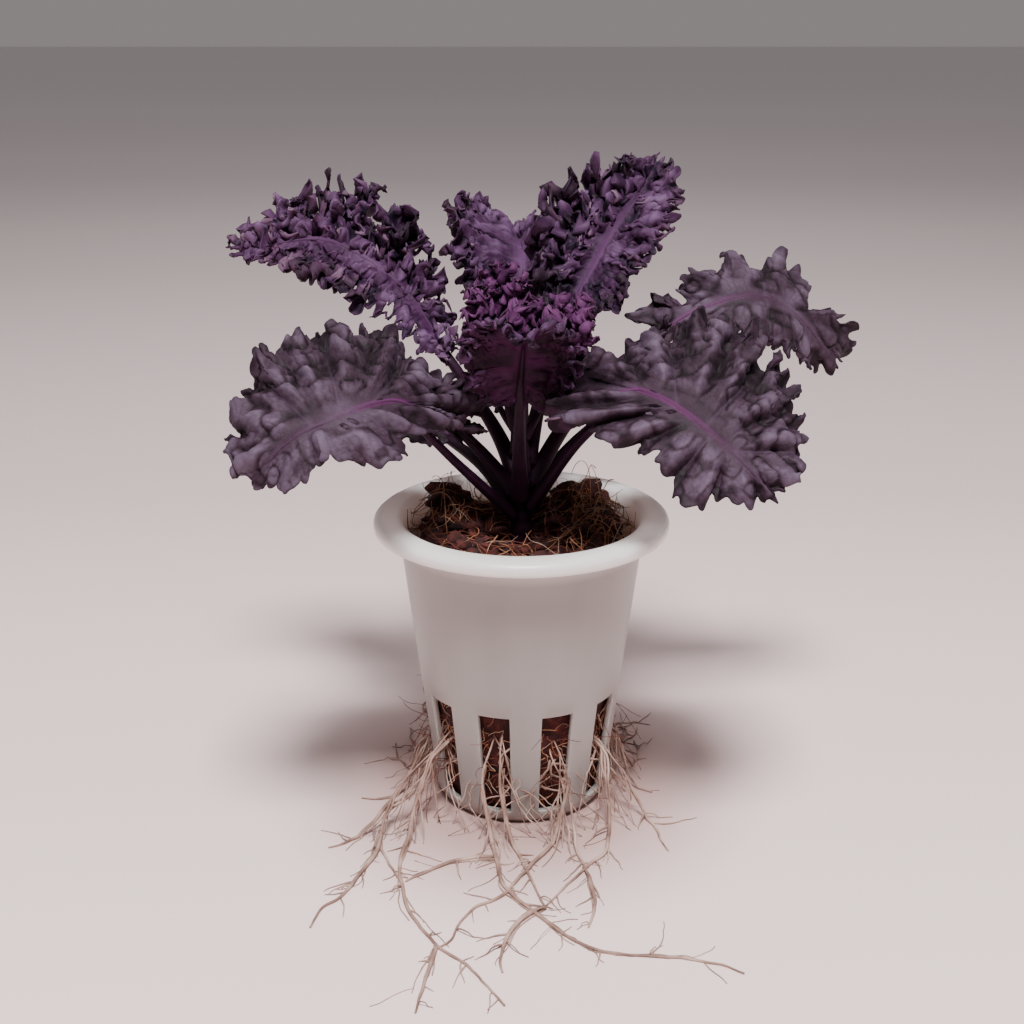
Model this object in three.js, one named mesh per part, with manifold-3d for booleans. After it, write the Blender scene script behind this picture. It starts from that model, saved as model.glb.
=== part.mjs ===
/**
 * A purple curly-leaf kale plant growing in a slotted net pot.
 *
 * Frame: millimetres, +Z up, origin at the middle of the pot's flat base, front towards -Y.
 * The leaves stand round one short stem. The stem stands in a hole in the coir that fills the pot,
 * and bare roots leave the coir through the pot's slots and lie on the surface around it.
 */
import * as THREE from 'three';
import { mergeVertices } from 'three/addons/utils/BufferGeometryUtils.js';
import Module from 'manifold-3d';

const wasm = await Module();
wasm.setup();

// ---------------------------------------------------------------- driving dimensions (mm)

const GAP = 0.3;                 // clearance kept between neighbouring pieces
const LEAF_GAP = 0.45;           // clearance cut between leaves that touch

const POT_HEIGHT = 64;
const POT_WALL = 1.2;
const POT_BASE_RADIUS = 18.5;    // outside, at the base
const POT_TOP_RADIUS = 26.1;     // outside, just below the flange
const POT_FLOOR = 1.6;           // thickness of the base
const LIP_RADIUS = 31;           // outside of the rolled lip
const LIP_DROP = 2.7;            // height of the rolled lip
const OPENING_RADIUS = 25;
const POT_SIDES = 40;
const SLOT_COUNT = 10;
const SLOT_WIDTH_DEG = 17.6;
const SLOT_FIRST_DEG = 20.4;     // from the front, towards +X
const SLOT_LOW = 3.4;
const SLOT_HIGH = 26.6;

const COIR_LEVEL = 57.4;         // height of the coir's top round the stem
const COIR_RELIEF = 0.5;
const COIR_HOLE_DEPTH = 12;

const STEM_FOOT = 46;
const STEM_TOP = 81;
const STEM_RADIUS = 2.7;

const BLADE_THICKNESS = 0.7;
const ROWS_PER_WAVE = 4;
const PETIOLE_RADIUS = 1.6;      // at the stem
const RIB_RADIUS = 0.8;          // where it ends, under the midrib

const SURFACE_LIFT = 0.02;       // no root reaches lower than this
const ROOT_RADIUS = 0.75;
const ROOT_TIP_RADIUS = 0.4;
const ROOT_STEP = 4.4;           // length of one straight piece of a root

// ---------------------------------------------------------------- leaves

/**
 * One leaf. petiole and rib are points that its stalk and its midrib pass through. above is the side
 * that its upper face looks to. near and far are the half widths on either side of the rib, evenly
 * spaced from the blade's foot to its tip. waves is the number of ruffles on each side, curl how far
 * each one turns up or down at the edge, sweep the angle of the lowest rays, bend the droop of the
 * blade across its width and cup how far its halves are raised, at the foot and at the tip, all in
 * degrees. seed sets where the ruffles fall, and cells is the number of cells from the rib to the edge.
 */
const LEAVES = {
  leaf_front_left: {
    seed: 1, waves: 5, curl: 50, sweep: -40, bend: -30, cup: [0, 0], above: [-0.15, -0.75, 0.65],
    petiole: [[-1.5, -1.3, 63.5], [-12.4, -9, 76.8], [-19, -14, 84.6]],
    rib: [[-17, -13, 86.5], [-23.5, -18.5, 92], [-31, -24.5, 92.3], [-37.5, -29, 89.8], [-42, -32, 87]],
    far: [7, 13, 20, 22, 17, 6], near: [5, 8, 11, 12, 11, 5],
  },
  leaf_front_right: {
    seed: 8, waves: 5, curl: 50, sweep: -55, bend: -25, cup: [0, 0], above: [0.15, -0.75, 0.65],
    petiole: [[1.7, -1.3, 65.5], [11.5, -8.5, 82], [16.5, -14.5, 90]],
    rib: [[14, -13, 91], [21, -19, 95], [30, -25, 93], [37, -30.5, 88.5], [42, -34, 84.5]],
    far: [12, 12, 12, 13, 12, 6], near: [10, 16, 20, 21, 17, 6],
  },
  leaf_front_inner: {
    cells: 3, seed: 5, waves: 4, curl: 70, sweep: -35, bend: 0, cup: [0, 10], above: [0, 0.8, 0.6],
    petiole: [[-0.2, -1.9, 68], [-0.5, -6.5, 79], [-0.6, -10, 90]],
    rib: [[-0.5, -10.5, 92], [0, -12.5, 99], [0.3, -15, 103], [0.5, -19, 104]],
    far: [8, 11, 12, 11, 9, 5], near: [8, 11, 12, 11, 9, 5],
  },
  leaf_left_inner: {
    cells: 3, seed: 2, waves: 4, curl: 50, sweep: -60, bend: -10, cup: [0, 0], above: [0.1, -0.8, 0.6],
    petiole: [[-1.9, 0.2, 68.5], [-8, 0.2, 76.6], [-12.5, -0.6, 81.4]],
    rib: [[-12.5, -0.4, 82], [-17, -1, 87], [-22.5, -2.4, 91.6], [-28, -4, 94.4]],
    far: [9, 11, 10, 9, 7, 4], near: [7, 7, 7, 7, 6, 4],
  },
  leaf_right: {
    cells: 3, seed: 7, waves: 4, curl: 60, sweep: -35, bend: -20, cup: [0, 0], above: [0, -0.6, 0.8],
    petiole: [[1.9, 0.3, 70], [9.1, 4, 81.7], [18.5, 8, 92.2], [28, 11.6, 98.4]],
    rib: [[30, 12.4, 99.6], [38, 14.5, 104], [48, 16, 107.4], [58.5, 18, 104], [67, 18, 95]],
    far: [5, 8, 10, 11, 10, 5], near: [6, 12, 14, 14, 12, 5],
  },
  leaf_back_left: {
    seed: 3, waves: 5, curl: 70, sweep: -35, bend: 0, cup: [0, 0], above: [0.25, -0.8, 0.55],
    petiole: [[-1.2, 1.4, 72], [-6.2, 7.8, 81], [-15, 11.6, 94.4]],
    rib: [[-15, 11, 94.5], [-22.4, 16, 105], [-31, 20, 112.5], [-42, 23, 117.5], [-55, 24, 116]],
    far: [8, 12, 15, 15, 12, 5], near: [7, 10, 11, 10, 7, 4],
  },
  leaf_back_right: {
    seed: 6, waves: 5, curl: 70, sweep: -35, bend: 0, cup: [15, 0], above: [-0.3, -0.85, 0.4],
    petiole: [[1.2, 1.4, 74], [4.5, 8, 88], [9.5, 14, 99]],
    rib: [[8, 13, 99], [13, 19, 108], [20, 26, 117.6], [26, 32, 127]],
    far: [8, 12, 14, 15, 12, 5], near: [8, 13, 15, 16, 14, 5],
  },
  leaf_back: {
    cells: 3, seed: 4, waves: 3, curl: 50, sweep: -35, bend: 10, cup: [8, 34], above: [0, -0.9, 0.5],
    petiole: [[-0.4, 1.6, 76], [-0.6, 12, 88], [0, 21, 98.4]],
    rib: [[0.2, 22.5, 99.6], [0.4, 27.5, 107.6], [0.3, 33.5, 112.6], [0, 40, 114.4], [-0.4, 46, 113.8]],
    far: [6, 7, 8, 9, 8, 5], near: [7, 10, 16, 18, 14, 5],
  },
  leaf_rear: {
    cells: 3, seed: 11, waves: 5, curl: 55, sweep: -40, bend: -15, cup: [5, 0], above: [0, -0.4, 0.9],
    petiole: [[-0.1, 1.9, 68], [0.3, 12, 80], [0.6, 22, 88]],
    rib: [[0.6, 21, 88], [1, 32, 92.5], [1.5, 43, 92], [1, 53, 87]],
    far: [7, 10, 12, 12, 10, 5], near: [7, 10, 12, 12, 10, 5],
  },
  leaf_rear_left: {
    cells: 3, seed: 12, waves: 5, curl: 55, sweep: -40, bend: -20, cup: [0, 0], above: [-0.1, -0.1, 1],
    petiole: [[-1.5, 1.3, 64.5], [-8, 8, 71.5], [-17, 17, 76]],
    rib: [[-16, 16, 76.5], [-26, 26, 80], [-35, 34, 79.5], [-43, 41, 74]],
    far: [7, 11, 13, 13, 11, 6], near: [7, 10, 12, 12, 10, 6],
  },
  leaf_rear_right: {
    cells: 3, seed: 13, waves: 5, curl: 55, sweep: -40, bend: -20, cup: [0, 0], above: [0.1, -0.1, 1],
    petiole: [[1.8, 0.9, 65.5], [9.5, 8.5, 74.5], [17, 17, 80]],
    rib: [[16, 16, 80], [26, 26, 84], [36, 35, 83], [44, 42, 77]],
    far: [7, 10, 12, 12, 10, 6], near: [7, 11, 13, 13, 11, 6],
  },
};

/** The small curled leaves at the middle of the plant, which press on one another. */
const HEART = [
  {
    cells: 3, seed: 9, waves: 3, curl: 70, sweep: -35, bend: 0, cup: [30, 30], above: [0.2, -0.9, 0.3],
    petiole: [[-0.6, -0.2, 80], [-2.6, -0.8, 86], [-4, -1, 91]],
    rib: [[-4.2, -1, 91], [-5.4, -1, 101], [-6.4, 0.2, 110], [-7, 3, 115]],
    far: [7, 9, 10, 10, 8, 4], near: [7, 9, 10, 10, 8, 4],
  },
  {
    cells: 3, seed: 10, waves: 3, curl: 70, sweep: -35, bend: 0, cup: [30, 30], above: [-0.2, -0.9, 0.3],
    petiole: [[0.6, -0.1, 80], [3.4, 1.2, 85], [5.4, 2.2, 90]],
    rib: [[5.4, 2.2, 89], [7.4, 2.6, 96], [9.4, 3.4, 101.5], [11.4, 5, 105]],
    far: [6, 7, 8, 8, 7, 3], near: [6, 7, 8, 8, 7, 3],
  },
];

// ---------------------------------------------------------------- solids

const rad = THREE.MathUtils.degToRad;
const vec = (p) => new THREE.Vector3(...p);

/** A steady value from 0 to 1 for a pair of whole numbers. */
function noise(a, b) {
  const x = Math.sin(a * 12.9898 + b * 78.233) * 43758.5453;
  return x - Math.floor(x);
}

/** Turns a closed geometry into a solid that can be joined and cut. */
function solidOf(geometry) {
  geometry.deleteAttribute('normal');
  geometry.deleteAttribute('uv');
  const merged = mergeVertices(geometry, 1e-4);
  return new wasm.Manifold(new wasm.Mesh({
    numProp: 3,
    vertProperties: new Float32Array(merged.attributes.position.array),
    triVerts: new Uint32Array(merged.index.array),
  }));
}

/** Turns a solid back into a geometry. */
function geometryOf(solid) {
  const mesh = solid.getMesh();
  const geometry = new THREE.BufferGeometry();
  geometry.setAttribute('position', new THREE.BufferAttribute(new Float32Array(mesh.vertProperties), 3));
  geometry.setIndex(new THREE.BufferAttribute(new Uint32Array(mesh.triVerts), 1));
  geometry.computeVertexNormals();
  return geometry;
}

/** A geometry from a list of points and a list of triangles. */
function geometryFrom(points, triangles) {
  const geometry = new THREE.BufferGeometry();
  geometry.setAttribute('position', new THREE.Float32BufferAttribute(points.flatMap((p) => p.toArray()), 3));
  geometry.setIndex(triangles.flat());
  return geometry;
}

/** The largest separate body of a solid. */
function mainBody(solid) {
  const bodies = solid.decompose();
  return bodies.reduce((best, body) => (body.volume() > best.volume() ? body : best));
}

/** A closed tube along a smooth curve, its radius given along its length from 0 to 1. */
function tube(points, radiusAt, steps, sides) {
  const curve = new THREE.CatmullRomCurve3(points, false, 'centripetal');
  curve.arcLengthDivisions = 400;
  const centres = curve.getSpacedPoints(steps);
  const frames = curve.computeFrenetFrames(steps, false);
  const ring = [];
  const triangles = [];
  centres.forEach((centre, i) => {
    for (let k = 0; k < sides; k += 1) {
      const angle = (2 * Math.PI * k) / sides;
      const radius = radiusAt(i / steps);
      const point = centre.clone()
        .addScaledVector(frames.normals[i], radius * Math.cos(angle))
        .addScaledVector(frames.binormals[i], radius * Math.sin(angle));
      point.z = Math.max(point.z, SURFACE_LIFT);
      ring.push(point);
    }
  });
  for (let i = 0; i < steps; i += 1) {
    for (let k = 0; k < sides; k += 1) {
      const a = i * sides + k;
      const b = i * sides + ((k + 1) % sides);
      triangles.push([a, b, b + sides], [a, b + sides, a + sides]);
    }
  }
  const last = steps * sides;
  for (let k = 1; k < sides - 1; k += 1) {
    triangles.push([0, k + 1, k], [last, last + k, last + k + 1]);
  }
  return geometryFrom(ring, triangles);
}

// ---------------------------------------------------------------- pot

/** The radius of the pot's outer wall at a height. */
function potRadius(z) {
  return POT_BASE_RADIUS + (POT_TOP_RADIUS - POT_BASE_RADIUS) * (z / POT_HEIGHT);
}

function makePot() {
  const under = POT_HEIGHT - LIP_DROP;
  const profile = [
    [0, 0],
    [POT_BASE_RADIUS - 1, 0],
    [potRadius(1), 1],
    [potRadius(SLOT_HIGH + 4), SLOT_HIGH + 4],
    [potRadius(under), under + 0.5],
    [LIP_RADIUS - 2, under + 0.9],
    [LIP_RADIUS - 1.1, under],
    [LIP_RADIUS - 0.2, under + 0.5],
    [LIP_RADIUS, under + 1.4],
    [LIP_RADIUS - 0.7, POT_HEIGHT - 0.2],
    [LIP_RADIUS - 1.6, POT_HEIGHT],
    [OPENING_RADIUS + 0.7, POT_HEIGHT - 0.3],
    [OPENING_RADIUS, POT_HEIGHT - 1],
    [potRadius(SLOT_HIGH + 4) - POT_WALL, SLOT_HIGH + 4],
    [potRadius(POT_FLOOR) - POT_WALL, POT_FLOOR],
    [0, POT_FLOOR],
  ].map(([r, z]) => new THREE.Vector2(r, z));
  const lathe = new THREE.LatheGeometry(profile, POT_SIDES);
  lathe.rotateX(Math.PI / 2);
  let pot = solidOf(lathe);
  for (let i = 0; i < SLOT_COUNT; i += 1) {
    // each slot's section lies in the radial direction, rounded at its top
    const half = potRadius(0.5 * (SLOT_LOW + SLOT_HIGH)) * rad(SLOT_WIDTH_DEG) * 0.5;
    const taper = 0.3;
    const shape = new THREE.Shape();
    shape.moveTo(-half + taper, SLOT_LOW);
    shape.lineTo(half - taper, SLOT_LOW);
    shape.lineTo(half + taper, SLOT_HIGH - 1.2);
    shape.lineTo(half - 0.9, SLOT_HIGH);
    shape.lineTo(-half + 0.9, SLOT_HIGH);
    shape.lineTo(-half - taper, SLOT_HIGH - 1.2);
    shape.closePath();
    const cutter = new THREE.ExtrudeGeometry(shape, { depth: 16, bevelEnabled: false, steps: 1 });
    cutter.translate(0, 0, 14);
    cutter.rotateX(Math.PI / 2);
    cutter.rotateZ(rad(SLOT_FIRST_DEG + (360 / SLOT_COUNT) * i));
    pot = pot.subtract(solidOf(cutter));
  }
  for (let i = 0; i < SLOT_COUNT / 2; i += 1) {
    const drain = new THREE.BoxGeometry(3, 7, 6);
    drain.translate(0, -11.5, 0);
    drain.rotateZ(rad(SLOT_FIRST_DEG + (720 / SLOT_COUNT) * i));
    pot = pot.subtract(solidOf(drain));
  }
  return pot;
}

// ---------------------------------------------------------------- coir and stem

/** Heaps of coir: the middle of each one, how far it rises and how far it spreads. */
const HEAPS = [
  { x: -15.5, y: 6, rise: 8.5, spread: 7.5 },
  { x: 14.5, y: 8.5, rise: 8.5, spread: 8.5 },
  { x: 0, y: 15.5, rise: 4.5, spread: 8 },
  { x: -18, y: -9, rise: 4, spread: 7 },
  { x: 18, y: -7, rise: 4.5, spread: 7.5 },
];

/** The height of the coir's lumpy top at a point. */
function coirHeight(x, y) {
  const lumps = Math.sin(0.42 * x + 1.3) * Math.cos(0.37 * y - 0.4)
    + 0.6 * Math.sin(0.83 * x - 0.71 * y + 2.1)
    + 0.35 * Math.cos(1.31 * y + 0.9 * x);
  const heaped = HEAPS.reduce((sum, heap) => {
    const away = ((x - heap.x) ** 2 + (y - heap.y) ** 2) / heap.spread ** 2;
    return sum + heap.rise * Math.exp(-away);
  }, 0);
  return COIR_LEVEL + heaped + COIR_RELIEF * lumps;
}

function makeCoir() {
  const sides = 32;
  const inner = (z) => potRadius(z) - POT_WALL - GAP;
  const topRadius = inner(COIR_LEVEL - 3);
  const hole = STEM_RADIUS + GAP;
  const rows = [];
  const row = (radius, heightAt) => {
    rows.push(Array.from({ length: sides }, (_, k) => {
      const angle = (2 * Math.PI * k) / sides;
      const x = radius * Math.cos(angle);
      const y = radius * Math.sin(angle);
      return new THREE.Vector3(x, y, heightAt(x, y));
    }));
  };
  const floor = POT_FLOOR + GAP;
  row(9, () => floor);
  row(inner(floor), () => floor);
  row(inner(SLOT_HIGH + 4), () => SLOT_HIGH + 4);
  row(topRadius, (x, y) => coirHeight(x, y) - 0.6);
  [0.9, 0.76, 0.62, 0.48, 0.34, 0.22].forEach((part) => row(topRadius * part, coirHeight));
  row(hole + 0.5, (x, y) => coirHeight(x, y));
  row(hole, () => COIR_LEVEL - 3);
  row(hole, () => COIR_LEVEL - COIR_HOLE_DEPTH);
  const points = rows.flat();
  const triangles = [];
  for (let i = 0; i < rows.length - 1; i += 1) {
    for (let k = 0; k < sides; k += 1) {
      const a = i * sides + k;
      const b = i * sides + ((k + 1) % sides);
      triangles.push([a, b, b + sides], [a, b + sides, a + sides]);
    }
  }
  const low = points.length;
  points.push(new THREE.Vector3(0, 0, floor), new THREE.Vector3(0, 0, COIR_LEVEL - COIR_HOLE_DEPTH));
  const last = (rows.length - 1) * sides;
  for (let k = 0; k < sides; k += 1) {
    const next = (k + 1) % sides;
    triangles.push([low, next, k], [low + 1, last + k, last + next]);
  }
  return solidOf(geometryFrom(points, triangles));
}

/** The stem, thickened where the leaves leave it, with extra added all round. */
function makeStem(extra) {
  const profile = [
    [0, STEM_FOOT - extra],
    [STEM_RADIUS - 0.5 + extra, STEM_FOOT - extra],
    [STEM_RADIUS - 0.3 + extra, 58],
    [STEM_RADIUS - 0.5 + extra, 64],
    [STEM_RADIUS - 0.6 + extra, 72],
    [1.6 + extra, 78],
    [0.9 + extra, STEM_TOP - 0.4 + extra],
    [0, STEM_TOP + extra],
  ].map(([r, z]) => new THREE.Vector2(r, z));
  const lathe = new THREE.LatheGeometry(profile, 14);
  lathe.rotateX(Math.PI / 2);
  return solidOf(lathe);
}

// ---------------------------------------------------------------- leaf

/** The value at x, from 0 to 1, of a smooth curve through evenly spaced values. */
function profileAt(values, x) {
  const scaled = Math.min(Math.max(x, 0), 1) * (values.length - 1);
  const i = Math.min(Math.floor(scaled), values.length - 2);
  const s = scaled - i;
  const b = values[i];
  const c = values[i + 1];
  const a = i > 0 ? values[i - 1] : 2 * b - c;
  const d = i + 2 < values.length ? values[i + 2] : 2 * c - b;
  return 0.5 * (2 * b + (c - a) * s + (2 * a - 5 * b + 4 * c - d) * s * s + (3 * b - a - 3 * c + d) * s ** 3);
}

/**
 * The middle surface of a blade: rays leave the midrib and fan round from the foot to the tip, and
 * each ray turns up and down towards the edge in ruffles. Returns rows of points across the blade.
 */
function bladeRows(leaf, rowsCount, half) {
  const curve = new THREE.CatmullRomCurve3(leaf.rib.map(vec), false, 'catmullrom', 0.5);
  curve.arcLengthDivisions = 400;
  const rib = curve.getSpacedPoints(rowsCount);
  const above = vec(leaf.above);
  const across = Array.from({ length: half + 1 }, (_, j) => (j / half) ** 0.85);
  return rib.map((foot, i) => {
    const t = i / rowsCount;
    const tangent = rib[Math.min(i + 1, rowsCount)].clone().sub(rib[Math.max(i - 1, 0)]).normalize();
    const side = tangent.clone().cross(above).normalize();
    const face = side.clone().cross(tangent);
    const turn = rad(leaf.sweep + (90 - leaf.sweep) * t ** 1.4);
    const calm = THREE.MathUtils.smoothstep(1 - t, 0, 0.1);
    const row = new Array(2 * half + 1);
    row[half] = foot.clone();
    [-1, 1].forEach((sign) => {
      const phase = (n) => 2 * Math.PI * noise(leaf.seed * 2 + (sign + 1) / 2, n);
      const width = profileAt(sign < 0 ? leaf.near : leaf.far, t);
      const wave = 2 * Math.PI * leaf.waves * t + phase(0) + 0.5 * Math.sin(6 * t + phase(1));
      const swing = rad(leaf.curl) * (1 + 0.3 * Math.sin(9 * t + phase(2)));
      const lobe = 1 + 0.1 * Math.sin(wave + 1.2);
      const out = side.clone().multiplyScalar(sign * Math.cos(turn)).addScaledVector(tangent, Math.sin(turn));
      const lift = rad(leaf.cup[0] + (leaf.cup[1] - leaf.cup[0]) * t);
      const point = foot.clone();
      for (let j = 1; j <= half; j += 1) {
        const mid = 0.5 * (across[j] + across[j - 1]);
        const angle = lift + rad(leaf.bend) * mid + calm * swing * mid ** 3 * Math.sin(wave);
        const step = width * lobe * (across[j] - across[j - 1]);
        point.addScaledVector(out, step * Math.cos(angle)).addScaledVector(face, step * Math.sin(angle));
        row[half + sign * j] = point.clone();
      }
    });
    if (i === rowsCount) {
      for (let j = 1; j <= half; j += 1) {
        const shared = row[half + j].clone().add(row[half - j]).multiplyScalar(0.5);
        row[half + j] = shared;
        row[half - j] = shared;
      }
    }
    return row;
  });
}

/** A thin closed solid on a blade's middle surface, its two faces split into triangles alike. */
function bladeSolid(leaf, rowsCount, half, thickness) {
  const rows = bladeRows(leaf, rowsCount, half);
  const cols = 2 * half + 1;
  const index = (i, k) => (i === rowsCount && k < half ? i * cols + 2 * half - k : i * cols + k);
  const points = rows.flat();
  const faces = [];
  for (let i = 0; i < rowsCount; i += 1) {
    for (let k = 0; k < cols - 1; k += 1) {
      const quad = [index(i, k), index(i, k + 1), index(i + 1, k + 1), index(i + 1, k)];
      const split = k < half ? [[0, 1, 2], [0, 2, 3]] : [[0, 1, 3], [1, 2, 3]];
      split.map((s) => s.map((n) => quad[n])).forEach((f) => faces.push(f));
    }
  }
  const normals = points.map(() => new THREE.Vector3());
  faces.forEach(([a, b, c]) => {
    const normal = points[b].clone().sub(points[a]).cross(points[c].clone().sub(points[a]));
    [a, b, c].forEach((n) => normals[n].add(normal));
  });
  const used = points.map((_, n) => normals[n].lengthSq() > 0);
  const upper = points.map((p, n) => (used[n] ? p.clone().addScaledVector(normals[n].normalize(), thickness / 2) : p));
  const lower = points.map((p, n) => (used[n] ? p.clone().addScaledVector(normals[n], -thickness / 2) : p));
  const count = points.length;
  const triangles = [];
  faces.forEach(([a, b, c]) => triangles.push([a, b, c], [a + count, c + count, b + count]));
  const edges = new Map();
  faces.forEach((f) => [[f[0], f[1]], [f[1], f[2]], [f[2], f[0]]].forEach(([a, b]) => edges.set(`${a}_${b}`, [a, b])));
  edges.forEach(([a, b]) => {
    if (!edges.has(`${b}_${a}`)) {
      triangles.push([a, a + count, b + count], [a, b + count, b]);
    }
  });
  return solidOf(geometryFrom([...upper, ...lower], triangles));
}

/** A leaf's blade with its petiole, which runs on under the first part of the midrib. */
function makeLeaf(leaf, extra) {
  const rows = ROWS_PER_WAVE * leaf.waves + 2;
  const blade = bladeSolid(leaf, rows, leaf.cells ?? 4, BLADE_THICKNESS + 2 * extra);
  const below = vec(leaf.above).normalize().multiplyScalar(-0.5);
  const rib = new THREE.CatmullRomCurve3(leaf.rib.map(vec), false, 'catmullrom', 0.5);
  const under = [0.16, 0.34].map((s) => rib.getPointAt(s).add(below));
  const path = [...leaf.petiole.slice(0, -1).map(vec), ...under];
  const radiusAt = (s) => extra + PETIOLE_RADIUS + (RIB_RADIUS - PETIOLE_RADIUS) * s ** 1.5;
  return blade.add(solidOf(tube(path, radiusAt, 8, 6)));
}

// ---------------------------------------------------------------- roots

const LIE = ROOT_RADIUS + 0.02;  // height of a root's middle where it lies on the surface

/**
 * The bare roots, as the points that each one passes through. A point with two numbers lies on the
 * surface. The roots of one node cross or start together and have grown into one another.
 */
const ROOTS = {
  roots_front: [
    [[-15.9, -12.9, 18], [-18.6, -15.8, 15.5], [-20.6, -18.2, 11.5], [-22.4, -20.4, 5], [-23.4, -25],
      [-24.6, -33], [-23.7, -39.9], [-21.4, -49.7], [-15.7, -59.8], [-9.5, -66.1], [-3.2, -76.3]],
    [[-15.7, -59.8], [-16.9, -66.1], [-18.5, -78.1]],
    [[-16.4, -12.4, 16], [-22, -16, 12.5], [-27, -19.4, 7], [-29.2, -25.7], [-26.1, -34.7], [-23.7, -39.9]],
    [[-29, -23.6, 2], [-29.6, -29.4], [-31.5, -34.7], [-35.3, -44.9], [-38.4, -48.1], [-39.8, -54.4]],
    [[-26.6, -19.2, 7.4], [-30.4, -20.6, 3], [-34, -23.6], [-37.5, -26.4], [-39.9, -27.5]],
    [[-6.4, -19.7, 19], [-8, -21.6, 12.2], [-7.1, -23.8, 5.6], [-5.9, -27.5], [-5, -33], [-3.3, -41.6],
      [2.4, -49.7], [8.8, -57.4], [14.1, -61.2], [21.3, -62.7], [28.5, -63.3], [35.5, -65.2], [39.6, -67.7]],
    [[-4.2, -20.3, 20], [-4.6, -21.9, 12.2], [-3.2, -24.4, 5], [-1.8, -27.4], [-0.3, -31.2], [1.6, -38.2],
      [4.4, -48.1]],
    [[7.6, -19.5, 18.5], [9.5, -21.6, 12.2], [8, -23.8, 5], [6.4, -26.6], [4.8, -29.4], [-0.4, -38.2],
      [-4.3, -44.9], [-9, -48.1], [-11.7, -52.9], [-13.4, -58.3], [-15.7, -60.4]],
    [[6.6, -19.9, 16], [10, -22.2, 8.6], [10.8, -25.2, 3.4], [11.3, -29], [12.7, -34.7], [14.3, -41.6],
      [15.1, -44.9]],
    [[12.8, -35.2], [13.8, -42], [14, -48.1], [12.3, -54.4]],
    [[17.2, -11.5, 15.5], [18.2, -15.6, 8.4], [18.7, -19.2, 2.8], [18.2, -23.4], [17.1, -29.4], [13.8, -33.7],
      [9.5, -39.9], [6.4, -44.9], [4.4, -48.1]],
    [[17.2, -11.5, 15.5], [22.2, -13, 9], [24.9, -14.5, 4], [27, -16.8], [28.5, -21], [29.2, -25.7],
      [30.1, -28.6]],
    [[4.6, -47.9], [0.5, -51.3], [-2.3, -55.9], [-4.1, -63.3], [-3.6, -67.5]],
    [[-5.2, -30.6], [-8.5, -31.4], [-14.5, -33], [-19.3, -36.5], [-23, -39.6]],
  ],
  roots_right: [
    [[20.6, 0.9, 14], [22.4, 1.6, 9], [24.2, 3.2, 4], [25.5, 6.2], [27.5, 12], [27, 18]],
    [[20.6, 0.9, 14], [22.5, 0, 8], [24, -1.6, 3.4], [25.8, -3.6], [29, -5.6]],
  ],
  roots_rear_right: [
    [[16.2, 12.8, 15], [17.8, 14.8, 9], [19, 17.2, 4], [19.8, 20.6], [22, 28], [20, 36], [23, 43]],
    [[16.2, 12.8, 15], [18.4, 13.7, 8], [20.8, 14.8, 3.4], [22.8, 16.6], [25, 21], [24.5, 27]],
  ],
  roots_rear: [
    [[5.5, 19.9, 16], [6, 21.8, 10], [6.6, 24.2, 4.2], [7.5, 27.6], [10, 36], [8, 44], [12, 53]],
    [[5.5, 19.9, 16], [4.7, 21.8, 9], [3.6, 24.2, 3.6], [3, 27.2], [4.5, 33], [2, 41]],
  ],
  roots_rear_left: [
    [[-7.2, 19.4, 15], [-7.8, 21.5, 9], [-8.5, 24, 4], [-9.5, 27.6], [-8, 35], [-12, 44], [-11, 52]],
    [[-7.2, 19.4, 15], [-6.2, 21.7, 9], [-4.6, 24.2, 3.6], [-3.9, 27.6], [-5, 34]],
  ],
  roots_left_rear: [
    [[-17.2, 11.4, 14], [-19.2, 13, 8], [-21, 15.2, 3.2], [-22.2, 18.6], [-20.5, 27], [-24, 35], [-22, 42]],
    [[-17.2, 11.4, 14], [-19.4, 12.1, 8], [-21.8, 12.8, 3.2], [-23.8, 14.2], [-26, 19], [-26.4, 24]],
  ],
  roots_left: [
    [[-20.6, -0.9, 14], [-22.5, 0, 9], [-24.2, 2, 4], [-25.8, 5], [-28.4, 10.6], [-29.4, 16.6]],
    [[-20.6, -0.9, 14], [-22.6, -1.9, 9], [-24.7, -3.6, 4], [-27.2, -6], [-31, -8.5], [-35, -8]],
  ],
};

function makeRoots(strands) {
  const radiusAt = (s) => ROOT_RADIUS + (ROOT_TIP_RADIUS - ROOT_RADIUS) * s;
  return mainBody(strands.map((strand) => {
    const path = strand.map(([x, y, z = LIE]) => new THREE.Vector3(x, y, z));
    const length = new THREE.CatmullRomCurve3(path, false, 'centripetal').getLength();
    return solidOf(tube(path, radiusAt, Math.max(4, Math.round(length / ROOT_STEP)), 5));
  }).reduce((a, b) => a.add(b)));
}

// ---------------------------------------------------------------- assembly

const group = new THREE.Group();

const COLOURS = {
  pot: [0xe9e6dd, 0.45],
  coir: [0x5a3320, 0.95],
  stem: [0x2c1020, 0.5],
  leaf: [0x4a3548, 0.55],
  heart: [0x33192f, 0.55],
  root: [0xcdb7a2, 0.7],
};

function place(name, solid, colour) {
  const [tint, roughness] = COLOURS[colour];
  const material = new THREE.MeshStandardMaterial({ color: tint, roughness, metalness: 0 });
  const mesh = new THREE.Mesh(geometryOf(solid), material);
  mesh.name = name;
  group.add(mesh);
}

place('net_pot', makePot(), 'pot');
place('coir', makeCoir(), 'coir');
place('stem', makeStem(0), 'stem');

// leaves are placed one by one, and each keeps clear of the stem and of the ones before it
const taken = [makeStem(GAP)];
const clearOfOthers = (solid) => taken.reduce((rest, other) => rest.subtract(other), solid);

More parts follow.
